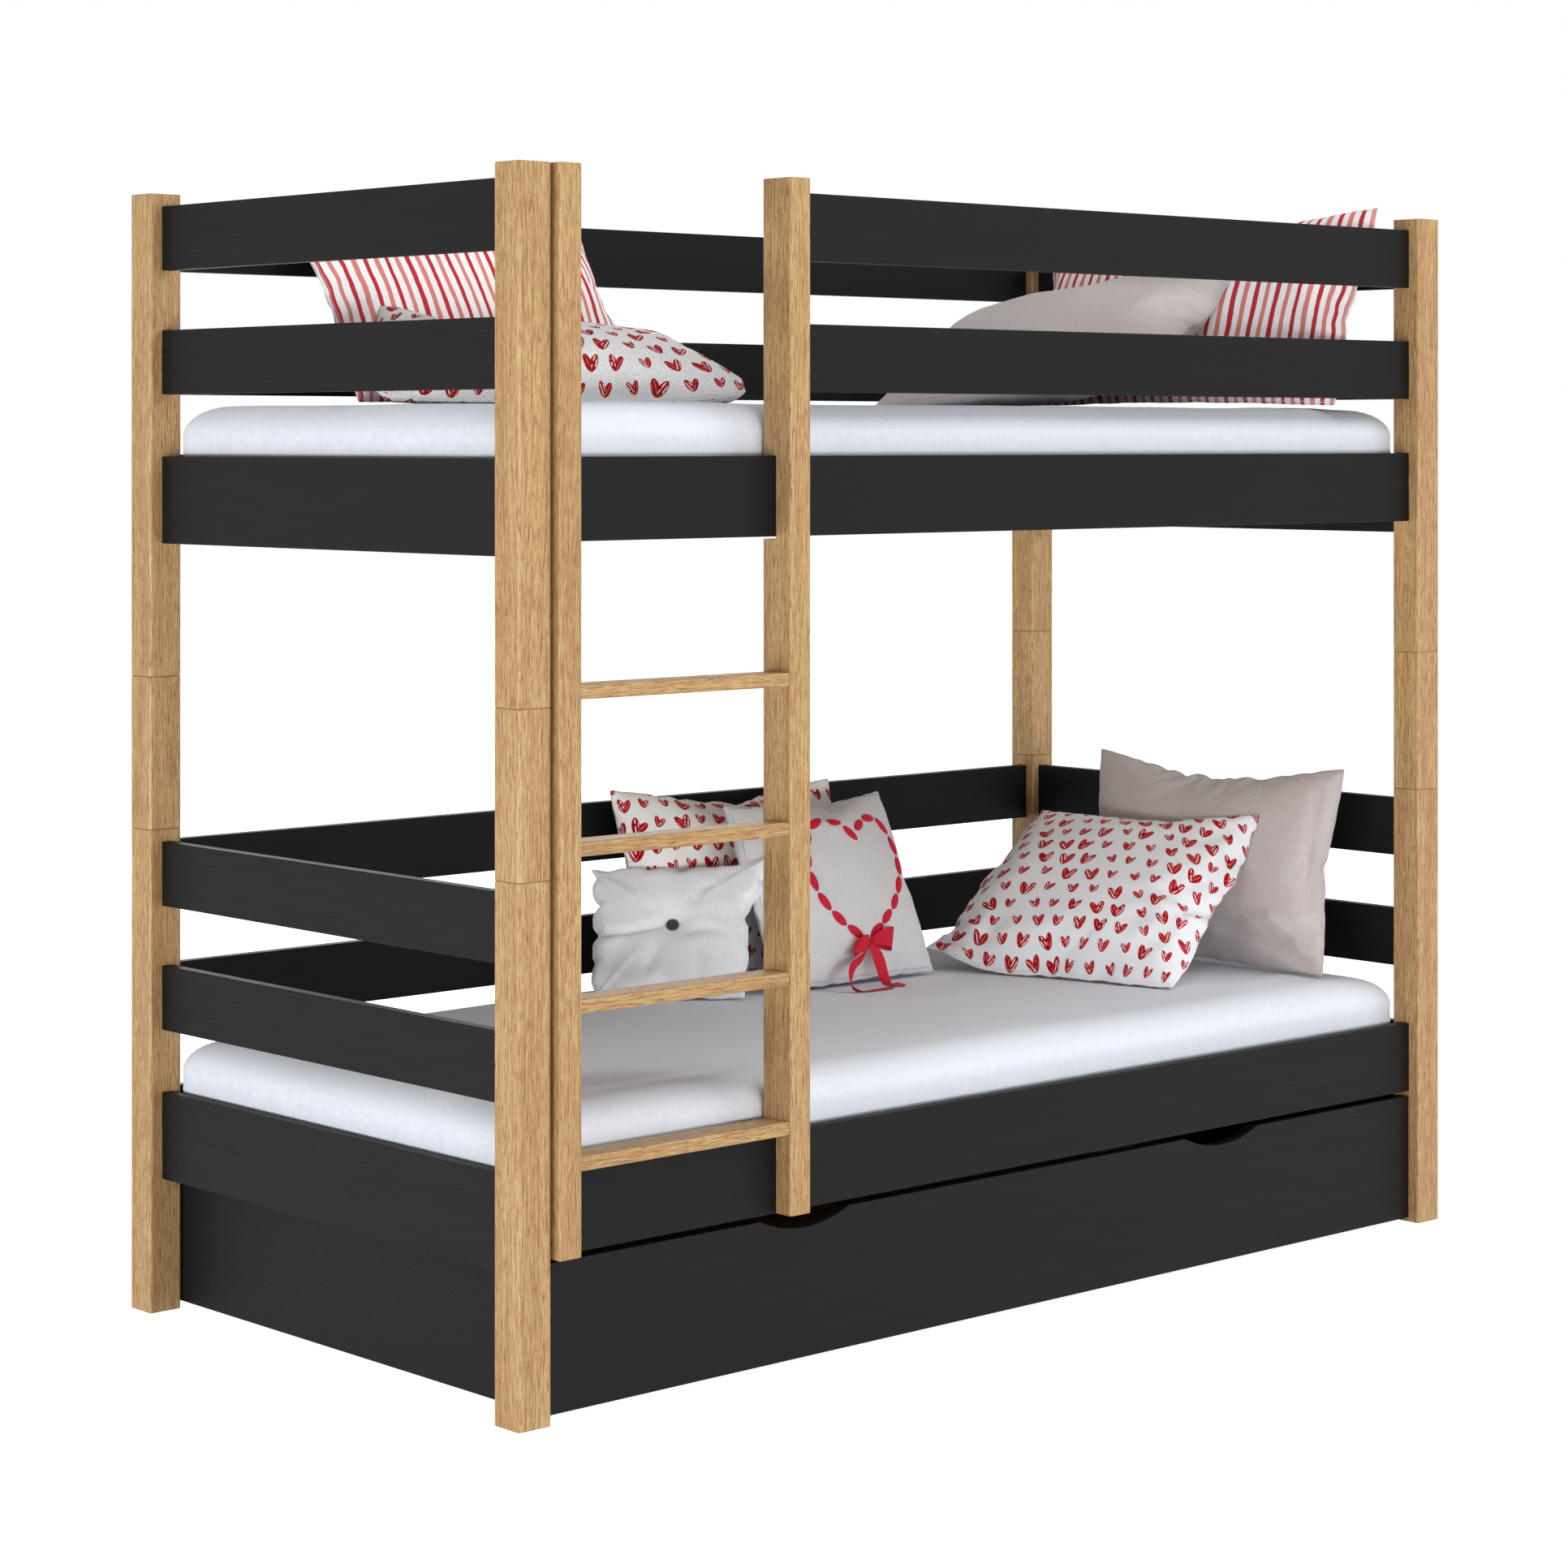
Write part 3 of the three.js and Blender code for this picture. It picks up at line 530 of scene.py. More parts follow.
def meshObject(name, points, faces, material, cornerUv=None, smooth=True):
    mesh = bpy.data.meshes.new(name)
    mesh.from_pydata([tuple(p) for p in points], [], faces)
    mesh.materials.append(material)
    if smooth:
        mesh.polygons.foreach_set("use_smooth", [True] * len(mesh.polygons))
    if cornerUv is not None:
        layer = mesh.uv_layers.new(name="UVMap")
        layer.data.foreach_set("uv", np.asarray(cornerUv, dtype=np.float32).ravel())
    mesh.update()
    piece = bpy.data.objects.new(name, mesh)
    scene.collection.objects.link(piece)
    return piece


def subdivide(piece, levels=1):
    modifier = piece.modifiers.new("soften", "SUBSURF")
    modifier.levels = modifier.render_levels = levels


def bandFaces(rows, sides, start=0):
    # the faces between closed rows of points that follow one another
    faces = []
    for row in range(start, start + (rows - 1) * sides, sides):
        for j in range(sides):
            a, b = row + j, row + (j + 1) % sides
            faces.append((a, b, b + sides, a + sides))
    return faces


def eased(value):
    value = np.clip(value, 0, 1)
    return value * value * (3 - 2 * value)


# Mattresses: a slab with soft edges, a slight crown and the sheet's loose folds

mattressLook = {
    "edgeHeight": 0.048, "edgeRun": 0.062, "crown": 0.005, "cornerPower": 6.0, "step": 0.014,
    "wave": 0.0012, "wallRows": 4,
    "swells": (9.0, 13.0), "wrinkles": (31, 23),  # of the top and of the wall, radians a metre in x and y
}
# soft folds of the sheet: x and y of the start and of the end from the middle, height, half width
sheetFolds = {
    "lower": [
        (-0.97, -0.352, -0.52, -0.338, 0.004, 0.013), (-0.96, -0.318, -0.56, -0.312, 0.0034, 0.012),
        (-0.93, -0.286, -0.6, -0.288, 0.0026, 0.012), (-0.99, -0.2, -0.8, -0.34, 0.0035, 0.02),
        (0.62, -0.36, 0.93, -0.3, 0.0022, 0.02), (-0.3, -0.33, 0.2, -0.35, 0.0016, 0.028),
    ],
    "upper": [
        (-0.93, -0.36, -0.45, -0.345, 0.0028, 0.016), (-0.95, -0.3, -0.6, -0.32, 0.0022, 0.016),
        (0.1, -0.35, 0.6, -0.335, 0.0022, 0.024), (0.7, -0.3, 0.95, -0.36, 0.0026, 0.018),
    ],
}


foldLook = {"sway": 0.006, "fade": 0.25}  # no fold is quite straight; a share of its length at each end


def foldHeight(x, y, folds):
    height = np.zeros_like(x)
    for x0, y0, x1, y1, rise, width in folds:
        dx, dy = x1 - x0, y1 - y0
        length = math.hypot(dx, dy)
        along = ((x - x0) * dx + (y - y0) * dy) / length**2
        off = ((y - y0) * dx - (x - x0) * dy) / length
        off = off + foldLook["sway"] * np.sin(along * 5.0 + rise * 900)
        fade = np.clip(along / foldLook["fade"], 0, 1) * np.clip((1 - along) / foldLook["fade"], 0, 1)
        height += rise * eased(fade) * np.exp(-((off / width) ** 2))
    return height


def graded(half, run, step):
    # places along one direction, closer together where the edge curves
    curveSteps = 8
    inner = np.linspace(-(half - run), half - run, max(2, round(2 * (half - run) / step)) + 1)
    turns = (1 - np.cos(np.linspace(0, math.pi / 2, curveSteps + 1)[:-1])) * run
    return np.concatenate([-half + turns, inner, (half - turns)[::-1]])


def softSlab(half, look, folds):
    # top and bottom are height fields over one grid; the side wall joins their borders
    run, power = look["edgeRun"], look["cornerPower"]
    xs, ys = graded(half[0], run, look["step"]), graded(half[1], run, look["step"])
    gridX, gridY = np.meshgrid(xs, ys, indexing="ij")
    inX = np.clip(np.abs(gridX) - (half[0] - run), 0, None)
    inY = np.clip(np.abs(gridY) - (half[1] - run), 0, None)
    larger = np.maximum(inX, inY)
    reach = (inX**power + inY**power) ** (1 / power)
    shrink = np.where(reach > 1e-9, larger / np.maximum(reach, 1e-9), 1.0)
    x = np.sign(gridX) * (np.minimum(np.abs(gridX), half[0] - run) + inX * shrink)
    y = np.sign(gridY) * (np.minimum(np.abs(gridY), half[1] - run) + inY * shrink)
    share = np.clip(larger / run, 0, 1)  # 0 where the slab is flat, 1 on its outline
    arc = np.sqrt(np.clip(1 - share**2, 0, 1))
    dome = (1 - (gridX / half[0]) ** 2) * (1 - (gridY / half[1]) ** 2)
    swellX, swellY = look["swells"]
    wave = look["wave"] * np.sin(gridX * swellX + 1.3) * np.sin(gridY * swellY + 0.4)
    top = half[2] - look["crown"] - look["edgeHeight"] * (1 - arc)
    top = top + (look["crown"] * dome**0.5 + wave * arc) + foldHeight(x, y, folds) * arc
    bottom = -half[2] + look["edgeHeight"] * (1 - arc)
    points = [tuple(p) for level in (top, bottom) for p in np.stack([x, y, level], -1).reshape(-1, 3)]
    lastX, lastY = gridX.shape[0] - 1, gridX.shape[1] - 1

    def at(side, i, j):
        return (side * (lastX + 1) + i) * (lastY + 1) + j

    faces = []
    for i in range(lastX):
        for j in range(lastY):
            faces.append((at(0, i, j), at(0, i + 1, j), at(0, i + 1, j + 1), at(0, i, j + 1)))
            faces.append((at(1, i, j), at(1, i, j + 1), at(1, i + 1, j + 1), at(1, i + 1, j)))
    border = [(i, 0) for i in range(lastX)] + [(lastX, j) for j in range(lastY)]
    border += [(lastX - i, lastY - j) for i, j in border]
    rings = [[at(1, i, j) for i, j in border]]
    acrossX, acrossY = look["wrinkles"]
    for row in range(1, look["wallRows"]):
        share = row / look["wallRows"]
        ring = []
        for i, j in border:
            low, high = points[at(1, i, j)], points[at(0, i, j)]
            wrinkle = look["wave"] * math.sin(low[0] * acrossX + low[1] * acrossY + row)
            out = Vector((low[0] / half[0], low[1] / half[1], 0)).normalized() * wrinkle
            ring.append(len(points))
            points.append((low[0] - abs(out.x) * np.sign(low[0]), low[1] - abs(out.y) * np.sign(low[1]),
                           low[2] + (high[2] - low[2]) * share))
        rings.append(ring)
    rings.append([at(0, i, j) for i, j in border])
    for low, high in zip(rings, rings[1:]):
        for k in range(len(border)):
            following = (k + 1) % len(border)
            faces.append((low[k], low[following], high[following], high[k]))
    return points, faces


def addMattress(bed):
    low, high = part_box(f"{bed}_mattress")
    half = [(high[i] - low[i]) / 2 for i in range(3)]
    middle = (low + high) / 2
    points, faces = softSlab(half, mattressLook, sheetFolds[bed])
    placed = [Vector(p) + middle for p in points]
    piece = meshObject(f"{bed}_mattress_in_sheet", placed, faces, fabrics["sheet"])
    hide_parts(f"{bed}_mattress")
    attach(piece, "root")
    return high.z


mattressTops = {bed: addMattress(bed) for bed in ("lower", "upper")}
print("mattresses done")


# Pillows: two squares of cloth sewn together and blown up, then stood in place

tension = 40.0
clothSettings = {
    "quality": 5, "mass": 0.15, "tension_stiffness": tension, "compression_stiffness": tension,
    "shear_stiffness": tension / 3, "bending_stiffness": 0.1, "air_damping": 2, "use_pressure": True,
    "uniform_pressure_force": 3.0, "use_pressure_volume": True, "shrink_min": -0.03,
}
pillowLook = {
    "frames": 13, "spacing": 0.0105,
    "fullVolume": 0.014, "fullArea": 0.252,  # the target for a cover of 0.6 x 0.42 m
    "cutGap": 0.004,  # half the gap between the two layers of a flat cover
    "clearance": 0.0012, "keptThickness": 0.5, "smoothRounds": (10, 6, 3),
    "ease": {"bottom": 0.85, "sides": 0.45, "top": 0.3},  # how far each seam goes back to its cut line
    "seamWave": 0.0016, "wavePitch": 0.05, "pucker": 0.0011, "puckerReach": 0.022, "puckerPitch": 0.024,
    "cornerShare": 0.15,  # of the half length, where the waves die away
    "puckerRim": 0.008, "foldRim": 0.02,  # from the seam in, where puckers and folds begin
    "backPrint": (0.173, 0.094),  # where the back's print starts
}
# Sizes in metres, angles in degrees. A place is a bed, the end measured from, the way from that end and
# from the back; turns are heading, lean and roll; lift is the lower edge over the mattress. Folds run
# from and to a spot (across, up) from the middle, with height and half width; crumples have a spot, reach
# and height; pulls a spot, the move (across, up, out) there and its reach; dimples a reach and a share of
# the thickness; seamDrop lowers the bottom seam on to the bed, and waves scales those of the seams.
pillowSpecs = {
    "pillow_stripes_upper_right": {
        "size": (0.69, 0.4, 0.15), "place": ("upper", "right", 0.195, 0.588),
        "turns": (189, 24, 0), "lift": 0, "cloth": "stripes", "slot": "striped_cotton",
        "pulls": [((0.345, 0.0), (0.026, 0.0, 0.0), 0.25)], "waves": 0.15,
    },
    "pillow_grey_upper_right": {
        "size": (0.554, 0.454, 0.15), "place": ("upper", "right", 0.424, 0.452),
        "turns": (184.5, 65.5, 13.6), "lift": 0.019, "cloth": "greyLinen", "slot": "grey_linen",
        "pulls": [((0.277, 0.227), (0.052, 0.03, 0.0), 0.09), ((0.277, 0.1), (0.042, 0.0, 0.0), 0.17)],
        "waves": 0.5,
        "folds": [(0.262, 0.2, 0.262, -0.1, -0.006, 0.006), (0.05, 0.2, 0.2, 0.19, -0.004, 0.012)],
    },
    "pillow_stripes_upper_left": {
        "size": (0.614, 0.415, 0.15), "place": ("upper", "left", 0.55, 0.182),
        "turns": (268, 35, 0), "lift": 0, "cloth": "stripes", "slot": "striped_cotton",
        "waves": 0.2,
    },
    "pillow_hearts_upper_left": {
        "size": (0.585, 0.416, 0.15), "place": ("upper", "left", 0.47, 0.468),
        "turns": (245, 81, -5), "lift": 0.024, "cloth": "heartsCoarse", "slot": "hearts_cotton",
        "seamDrop": 0.034, "waves": 0.4,
        "pulls": [((0.292, -0.208), (0.036, 0.0, 0.018), 0.11),
                  ((0.292, -0.208), (-0.026, 0.0, -0.018), 0.05)],
    },
    "pillow_hearts_lower_left": {
        "size": (0.526, 0.359, 0.14), "place": ("lower", "left", 1.182, 0.145),
        "turns": (269, 15, -1.3), "lift": -0.003, "cloth": "hearts", "slot": "hearts_cotton",
        "folds": [(-0.235, 0.12, -0.215, -0.08, 0.006, 0.012)],
    },
    "cushion_ribbon_heart": {
        "size": (0.395, 0.352, 0.13), "place": ("lower", "left", 1.254, 0.315),
        "turns": (271.5, 24, 0), "lift": 0.001, "cloth": "paleLinen", "slot": "pale_linen",
        "spacing": 0.008,
    },
    "cushion_button": {
        "size": (0.294, 0.27, 0.095), "place": ("lower", "left", 0.947, 0.245),
        "turns": (225.4, 37, 2.5), "lift": -0.002, "cloth": "paleCotton", "slot": "pale_cotton",
        "spacing": 0.0065, "dimples": [(0.03, 0.34), (0.075, 0.22)], "waves": 2.2,
        "folds": [
            (-0.15, -0.012, -0.004, 0.0, -0.015, 0.0055), (-0.145, -0.03, -0.08, -0.022, 0.006, 0.012),
            (0.03, 0.03, 0.075, 0.085, -0.0045, 0.011), (-0.02, -0.03, -0.055, -0.095, -0.0045, 0.01),
            (-0.025, 0.025, -0.065, 0.05, -0.0035, 0.009), (0.015, -0.006, 0.11, -0.028, -0.0055, 0.008),
            (0.03, -0.04, 0.06, -0.11, -0.003, 0.012), (-0.03, -0.095, 0.0, -0.125, -0.004, 0.01),
        ],
        "crumples": [((0.115, 0.02), 0.045, 0.003)],
        "pulls": [((0.147, -0.135), (-0.022, 0.0, 0.0), 0.07), ((0.147, 0.0), (-0.01, 0.0, 0.0), 0.06),
                  ((0.147, 0.135), (-0.012, -0.004, 0.0), 0.04)],
    },
    "pillow_grey_lower_right": {
        "size": (0.604, 0.385, 0.13), "place": ("lower", "right", 0.14, 0.588),
        "turns": (180, 9.5, 0), "lift": -0.006, "cloth": "greyLinen", "slot": "grey_linen",
        "folds": [(0.05, -0.13, 0.29, -0.116, -0.016, 0.009), (0.12, -0.1, 0.28, -0.092, 0.009, 0.013),
                  (0.16, -0.152, 0.295, -0.162, -0.01, 0.008), (0.19, -0.07, 0.26, -0.15, 0.008, 0.01),
                  (0.262, 0.18, 0.262, -0.1, -0.007, 0.006)],
    },
    "pillow_hearts_lower_right": {
        "size": (0.488, 0.466, 0.14), "place": ("lower", "right", 0.365, 0.534),
        "turns": (197, 55.5, 0), "lift": -0.002, "cloth": "heartsTall", "slot": "hearts_cotton",
        "pulls": [((0.244, 0.233), (0.042, 0.014, 0.0), 0.08),
                  ((-0.244, -0.233), (-0.034, 0.036, 0.02), 0.07),
                  ((-0.244, -0.04), (-0.045, 0.0, 0.0), 0.13),
                  ((-0.244, 0.233), (0.02, 0.0, 0.0), 0.06),
                  ((0.244, 0.02), (0.016, 0.0, 0.0), 0.11),
                  ((0.244, -0.233), (-0.02, 0.004, 0.0), 0.05)],
        "folds": [(0.12, -0.06, 0.23, -0.1, 0.006, 0.012), (0.13, -0.02, 0.235, -0.05, -0.008, 0.011),
                  (-0.235, -0.1, -0.14, -0.17, 0.006, 0.014)],
        "crumples": [((0.21, -0.06), 0.09, 0.0085), ((0.2, 0.12), 0.05, 0.005), ((-0.2, -0.19), 0.08, 0.007)],
    },
}


def flatCover(spec):
    # two layers that share their border: points, faces, and what each point and corner needs to know
    width, height = spec["size"][:2]
    spacing = spec.get("spacing", pillowLook["spacing"])
    across, up = round(width / spacing), round(height / spacing)
    points, layers, number = [], [], {}

    def at(side, i, j):
        onSeam = i in (0, across) or j in (0, up)
        key = (0 if onSeam else side, i, j)
        if key not in number:
            number[key] = len(points)
            x, y = (i / across - 0.5) * width, (j / up - 0.5) * height
            layers.append(0 if onSeam else (1, -1)[side])
            points.append((x, y, layers[-1] * pillowLook["cutGap"]))
        return number[key]

    faces = []
    for side in (0, 1):
        for i in range(across):
            for j in range(up):
                ring = (at(side, i, j), at(side, i + 1, j), at(side, i + 1, j + 1), at(side, i, j + 1))
                faces.append(ring if side == 0 else ring[::-1])
    twin = np.arange(len(points))
    for (side, i, j), index in number.items():
        twin[index] = number.get((1 - side, i, j), index)
    flat = np.array(points)
    toSeam = np.minimum(width / 2 - np.abs(flat[:, 0]), height / 2 - np.abs(flat[:, 1]))
    corners = flat[np.array(faces).ravel(), :2]
    half = len(corners) // 2
    corners[half:] = corners[half:] * (-1, 1) + pillowLook["backPrint"]
    return {"flat": flat, "faces": faces, "corners": corners, "toSeam": toSeam, "layers": np.array(layers),
            "twin": twin}


def inflateCovers(covers):
    # every cover is blown up in the same run of frames
    simulated = {}
    for name, cover in covers.items():
        width, height = pillowSpecs[name]["size"][:2]
        piece = meshObject(f"{name}_cut", cover["flat"], cover["faces"], fabrics["sheet"])
        cloth = piece.modifiers.new("fill", "CLOTH")
        for key, value in clothSettings.items():
            setattr(cloth.settings, key, value)
        fullShare = width * height / pillowLook["fullArea"]
        cloth.settings.target_volume = pillowLook["fullVolume"] * fullShare**1.5
        cloth.settings.effector_weights.gravity = 0
        cloth.point_cache.frame_start, cloth.point_cache.frame_end = 1, pillowLook["frames"]
        simulated[name] = piece
    scene.frame_start, scene.frame_end = 1, pillowLook["frames"]
    for step in range(1, pillowLook["frames"] + 1):
        scene.frame_set(step)
    shapes = {}
    graph = bpy.context.evaluated_depsgraph_get()
    for name, piece in simulated.items():
        done = piece.evaluated_get(graph).data
        shape = np.empty(len(done.vertices) * 3)
        done.vertices.foreach_get("co", shape)
        shapes[name] = shape.reshape(-1, 3)
    for piece in simulated.values():
        mesh = piece.data
        bpy.data.objects.remove(piece)
        bpy.data.meshes.remove(mesh)
    scene.frame_set(1)
    return shapes


def waves(along, pitch, salt):
    # uneven waves along one direction, between -1 and 1 for the most part
    draw = np.random.default_rng([seed, salt])
    total = np.zeros_like(along)
    count = 4
    for _ in range(count):
        total += np.sin(along * math.tau / (pitch * draw.uniform(0.7, 1.7)) + draw.uniform(0, math.tau))
    return total / count**0.5


def crumpled(u, v, salt):
    # ridges of random direction, 25 to 60 mm apart
    draw = np.random.default_rng([seed, salt])
    total = np.zeros_like(u)
    count = 6
    for _ in range(count):
        way, pitch = draw.uniform(0, math.pi), draw.uniform(0.025, 0.06)
        phase = (u * math.cos(way) + v * math.sin(way)) * math.tau / pitch + draw.uniform(0, math.tau)
        total += 1 - 2 * np.abs(np.sin(phase / 2))
    return total / count**0.5


def nearness(u, v, place, reach):
    # 1 at a place, falling off smoothly around it
    return np.exp(-(((u - place[0]) ** 2 + (v - place[1]) ** 2) / reach**2))


def shapeCover(cover, shape, spec, salt):
    # the blown-up cover at its real size, with its seams, puckers, folds and crumples
    flat, layers, toSeam = cover["flat"], cover["layers"], cover["toSeam"]
    look, ease = pillowLook, pillowLook["ease"]
    width, height = spec["size"][:2]
    local = shape * (np.array(spec["size"]) / (shape.max(0) - shape.min(0)))
    u, v = flat[:, 0], flat[:, 1]
    for reach, share in spec.get("dimples", []):
        local[:, 2] *= 1 - share * nearness(u, v, (0, 0), reach)
    s, t = np.abs(2 * u / width), np.abs(2 * v / height)
    local[:, 0] += ease["sides"] * eased(s) * (u - local[:, 0])
    local[:, 1] += np.where(v < 0, ease["bottom"], ease["top"]) * eased(t) * (v - local[:, 1])
    onSide = width / 2 - np.abs(u) < height / 2 - np.abs(v)
    sideShift = 0.37  # gives each side its own part of the waves
    along = np.where(onSide, v, u) + np.where(onSide, np.sign(u), np.sign(v) * 2) * sideShift
    corner = eased((1 - np.minimum(s, t)) / look["cornerShare"])
    near = np.exp(-((toSeam / look["puckerReach"]) ** 2)) * corner
    wave = look["seamWave"] * spec.get("waves", 1.0) * waves(along, look["wavePitch"], salt) * near
    local[:, 0] -= np.where(onSide, np.sign(u) * (np.abs(wave) + wave), 0)
    local[:, 1] -= np.where(onSide, 0, np.sign(v) * (np.abs(wave) + wave))
    inner = near * np.clip(toSeam / look["puckerRim"], 0, 1)
    rise = look["pucker"] * waves(along, look["puckerPitch"], salt + 50) * inner
    folds = foldHeight(u, v, spec.get("folds", []))
    for place, reach, amount in spec.get("crumples", []):
        rise += amount * crumpled(u, v, salt + 90) * nearness(u, v, place, reach)
    rise = rise + np.where(layers > 0, folds, 0) * eased(toSeam / look["foldRim"])
    local[:, 2] += np.where(layers == 0, 0.5 * rise, layers * rise)
    drop = eased(-2 * v / height) ** 2 * (1 - s**6)  # a low seam that lies on the bed
    local[:, 2] -= spec.get("seamDrop", 0.0) * drop
    for place, way, reach in spec.get("pulls", []):
        local += nearness(u, v, place, reach)[:, None] * np.array(way)
    return local


def standMatrix(spec):
    # the same placing as the CAD solids: middle of the pillow, its width, its height and its face
    bed, end, fromEnd, fromBack = spec["place"]
    turn, tilt, roll = map(math.radians, spec["turns"])
    facing = Vector((math.cos(turn), math.sin(turn), 0))
    across = Vector((-facing.y, facing.x, 0))
    upwards = Vector((0, 0, math.cos(tilt))) - facing * math.sin(tilt)
    outwards = across.cross(upwards)
    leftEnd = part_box("lower_post_front_left")[0].x
    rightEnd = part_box("lower_post_front_right")[1].x
    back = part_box("lower_post_back_left")[1].y
    x = leftEnd + fromEnd if end == "left" else rightEnd - fromEnd
    z = mattressTops[bed] + spec["lift"] + spec["size"][1] / 2 * math.cos(tilt)
    stand = Matrix((across, upwards, outwards)).transposed().to_4x4()
    return Matrix.Translation((x, back - fromBack, z)) @ stand @ Matrix.Rotation(roll, 4, "Z")


def neighbourSmooth(values, faces, rounds):
    # averages a value over each point's neighbours, rounds times
    ring = np.array(faces)
    pairs = np.stack([ring, np.roll(ring, -1, axis=1)], -1).reshape(-1, 2)
    count = np.zeros(len(values))
    np.add.at(count, pairs[:, 0], 1)
    np.add.at(count, pairs[:, 1], 1)
    for _ in range(rounds):
        total = np.zeros_like(values)
        np.add.at(total, pairs[:, 0], values[pairs[:, 1]])
        np.add.at(total, pairs[:, 1], values[pairs[:, 0]])
        values = 0.5 * values + 0.5 * total / count[:, None]
    return values


def wayOut(point, tree, outward):
    # how far a point inside a closed cover is from its front, or 0 for a point outside
    start, hits, way = Vector(point), 0, 0.0
    origin = start
    mostHits, step = 8, 1e-5  # the next ray starts just past the last hit
    for _ in range(mostHits):
        found = tree.ray_cast(origin, outward)[0]
        if found is None:
            break
        hits += 1
        way = way or (found - start).length
        origin = found + outward * step
    return way if hits % 2 else 0.0


def pushOut(points, cover, behind):
    # moves a pillow's points out of each pillow behind it, towards that one's front
    moved = np.zeros_like(points)
    for tree, outward in behind:
        push = np.array([wayOut(point, tree, outward) for point in points])
        push[push > 0] += pillowLook["clearance"]
        twin = cover["twin"]
        gap = np.abs((points - points[twin]) @ np.array(outward))
        push = np.maximum(push, push[twin] - (1 - pillowLook["keptThickness"]) * gap)
        moved += np.maximum(push, 0)[:, None] * np.array(outward)
    return moved


def addPillow(name, cover, shape, standing, salt):
    spec = pillowSpecs[name]
    faces = cover["faces"]
    matrix = standMatrix(spec)
    points = shapeCover(cover, shape, spec, salt) @ np.array(matrix.to_3x3()).T + np.array(matrix.translation)
    outward = matrix.to_3x3() @ Vector((0, 0, 1))
    for rounds in pillowLook["smoothRounds"]:
        moved = pushOut(points, cover, standing)
        if moved.any():
            points = points + neighbourSmooth(moved, faces, rounds)
    points = points + pushOut(points, cover, standing)
    gap = pillowLook["clearance"]
    points[:, 2] = np.maximum(points[:, 2], mattressTops[spec["place"][0]] + gap * 0.5)
    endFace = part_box("lower_right_base")[0].x - gap
    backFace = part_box("lower_back_base")[0].y - gap
    points[:, 0] = np.clip(points[:, 0], -endFace, endFace)
    points[:, 1] = np.minimum(points[:, 1], backFace)
    piece = meshObject(f"soft_{name}", points, faces, fabrics[spec["cloth"]], cover["corners"])
    seam = piece.data.attributes.new("fromSeam", "FLOAT", "POINT")
    seam.data.foreach_set("value", cover["toSeam"].astype(np.float32))
    subdivide(piece)
    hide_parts(name)
    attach(piece, "root")
    tree = BVHTree.FromPolygons([tuple(p) for p in points], faces)
    return {"tree": tree, "matrix": matrix, "outward": outward}


def addPillows():
    covers = {name: flatCover(spec) for name, spec in pillowSpecs.items()}
    shapes = inflateCovers(covers)
    standing = {"lower": [], "upper": []}
    made = {}
    for salt, (name, spec) in enumerate(pillowSpecs.items()):
        behind = standing[spec["place"][0]]
        made[name] = addPillow(name, covers[name], shapes[name], behind, salt)
        behind.append((made[name]["tree"], made[name]["outward"]))
    return made


pillows = addPillows()
print("pillows done")


# What is sewn on the cushions: a heart of ribbon stitches, a bow and a button

def onFace(name, across, up):
    # the place on a cushion's front that lies at (across, up) from its middle, and the way out of it
    pillow = pillows[name]
    turn = pillow["matrix"].to_3x3()
    outward = pillow["outward"]
    farOut = 0.3  # well in front of the cushion
    origin = pillow["matrix"] @ Vector((across, up, 0)) + outward * farOut
    found, normal, _, _ = pillow["tree"].ray_cast(origin, -outward)
    if normal.dot(outward) < 0:
        normal = -normal
    return found, normal, turn


stitchLook = {
    "count": 18, "width": 0.234, "height": 0.226, "middle": (0.020, 0.0), "skew": 0.18, "tipGap": 0.030,
    "length": 0.0385, "breadth": 0.0165, "thickness": 0.0060,
}


def heartLine(share):
    # a heart's outline, once round from the tip; about -1 to 1 both ways
    angle = math.tau * share + math.pi
    x = math.copysign(abs(math.sin(angle)) ** 1.9, math.sin(angle))
    heights = (0.14, 0.99, -0.24, -0.15, -0.045)
    return x, sum(size * math.cos(times * angle) for times, size in enumerate(heights))


def heartPlaces():
    # evenly spaced places along the heart, with a gap at the tip for the bow
    width, height = stitchLook["width"] / 2, stitchLook["height"] / 2
    samples = 600
    line = [heartLine(i / samples) for i in range(samples + 1)]
    skew = stitchLook["skew"]
    line = np.array([(x * width + skew * y * height, y * height) for x, y in line]) + stitchLook["middle"]
    steps = np.hypot(*np.diff(line, axis=0).T)
    reach = np.concatenate([[0], np.cumsum(steps)])
    wanted = np.linspace(stitchLook["tipGap"], reach[-1] - stitchLook["tipGap"], stitchLook["count"])
    x, y = np.interp(wanted, reach, line[:, 0]), np.interp(wanted, reach, line[:, 1])
    step = 0.004  # to either side, for the line's direction
    ahead, behind = np.minimum(wanted + step, reach[-1]), wanted - step
    dx, dy = (np.interp(ahead, reach, line[:, k]) - np.interp(behind, reach, line[:, k]) for k in (0, 1))
    return zip(x, y, dx, dy)


def frameTurn(along, normal):
    # Euler angles that put X along a stitch and Z out of the cloth
    normal = normal.normalized()
    side = normal.cross(along).normalized()
    along = side.cross(normal)
    return Matrix((along, side, normal)).transposed().to_euler("XYZ")


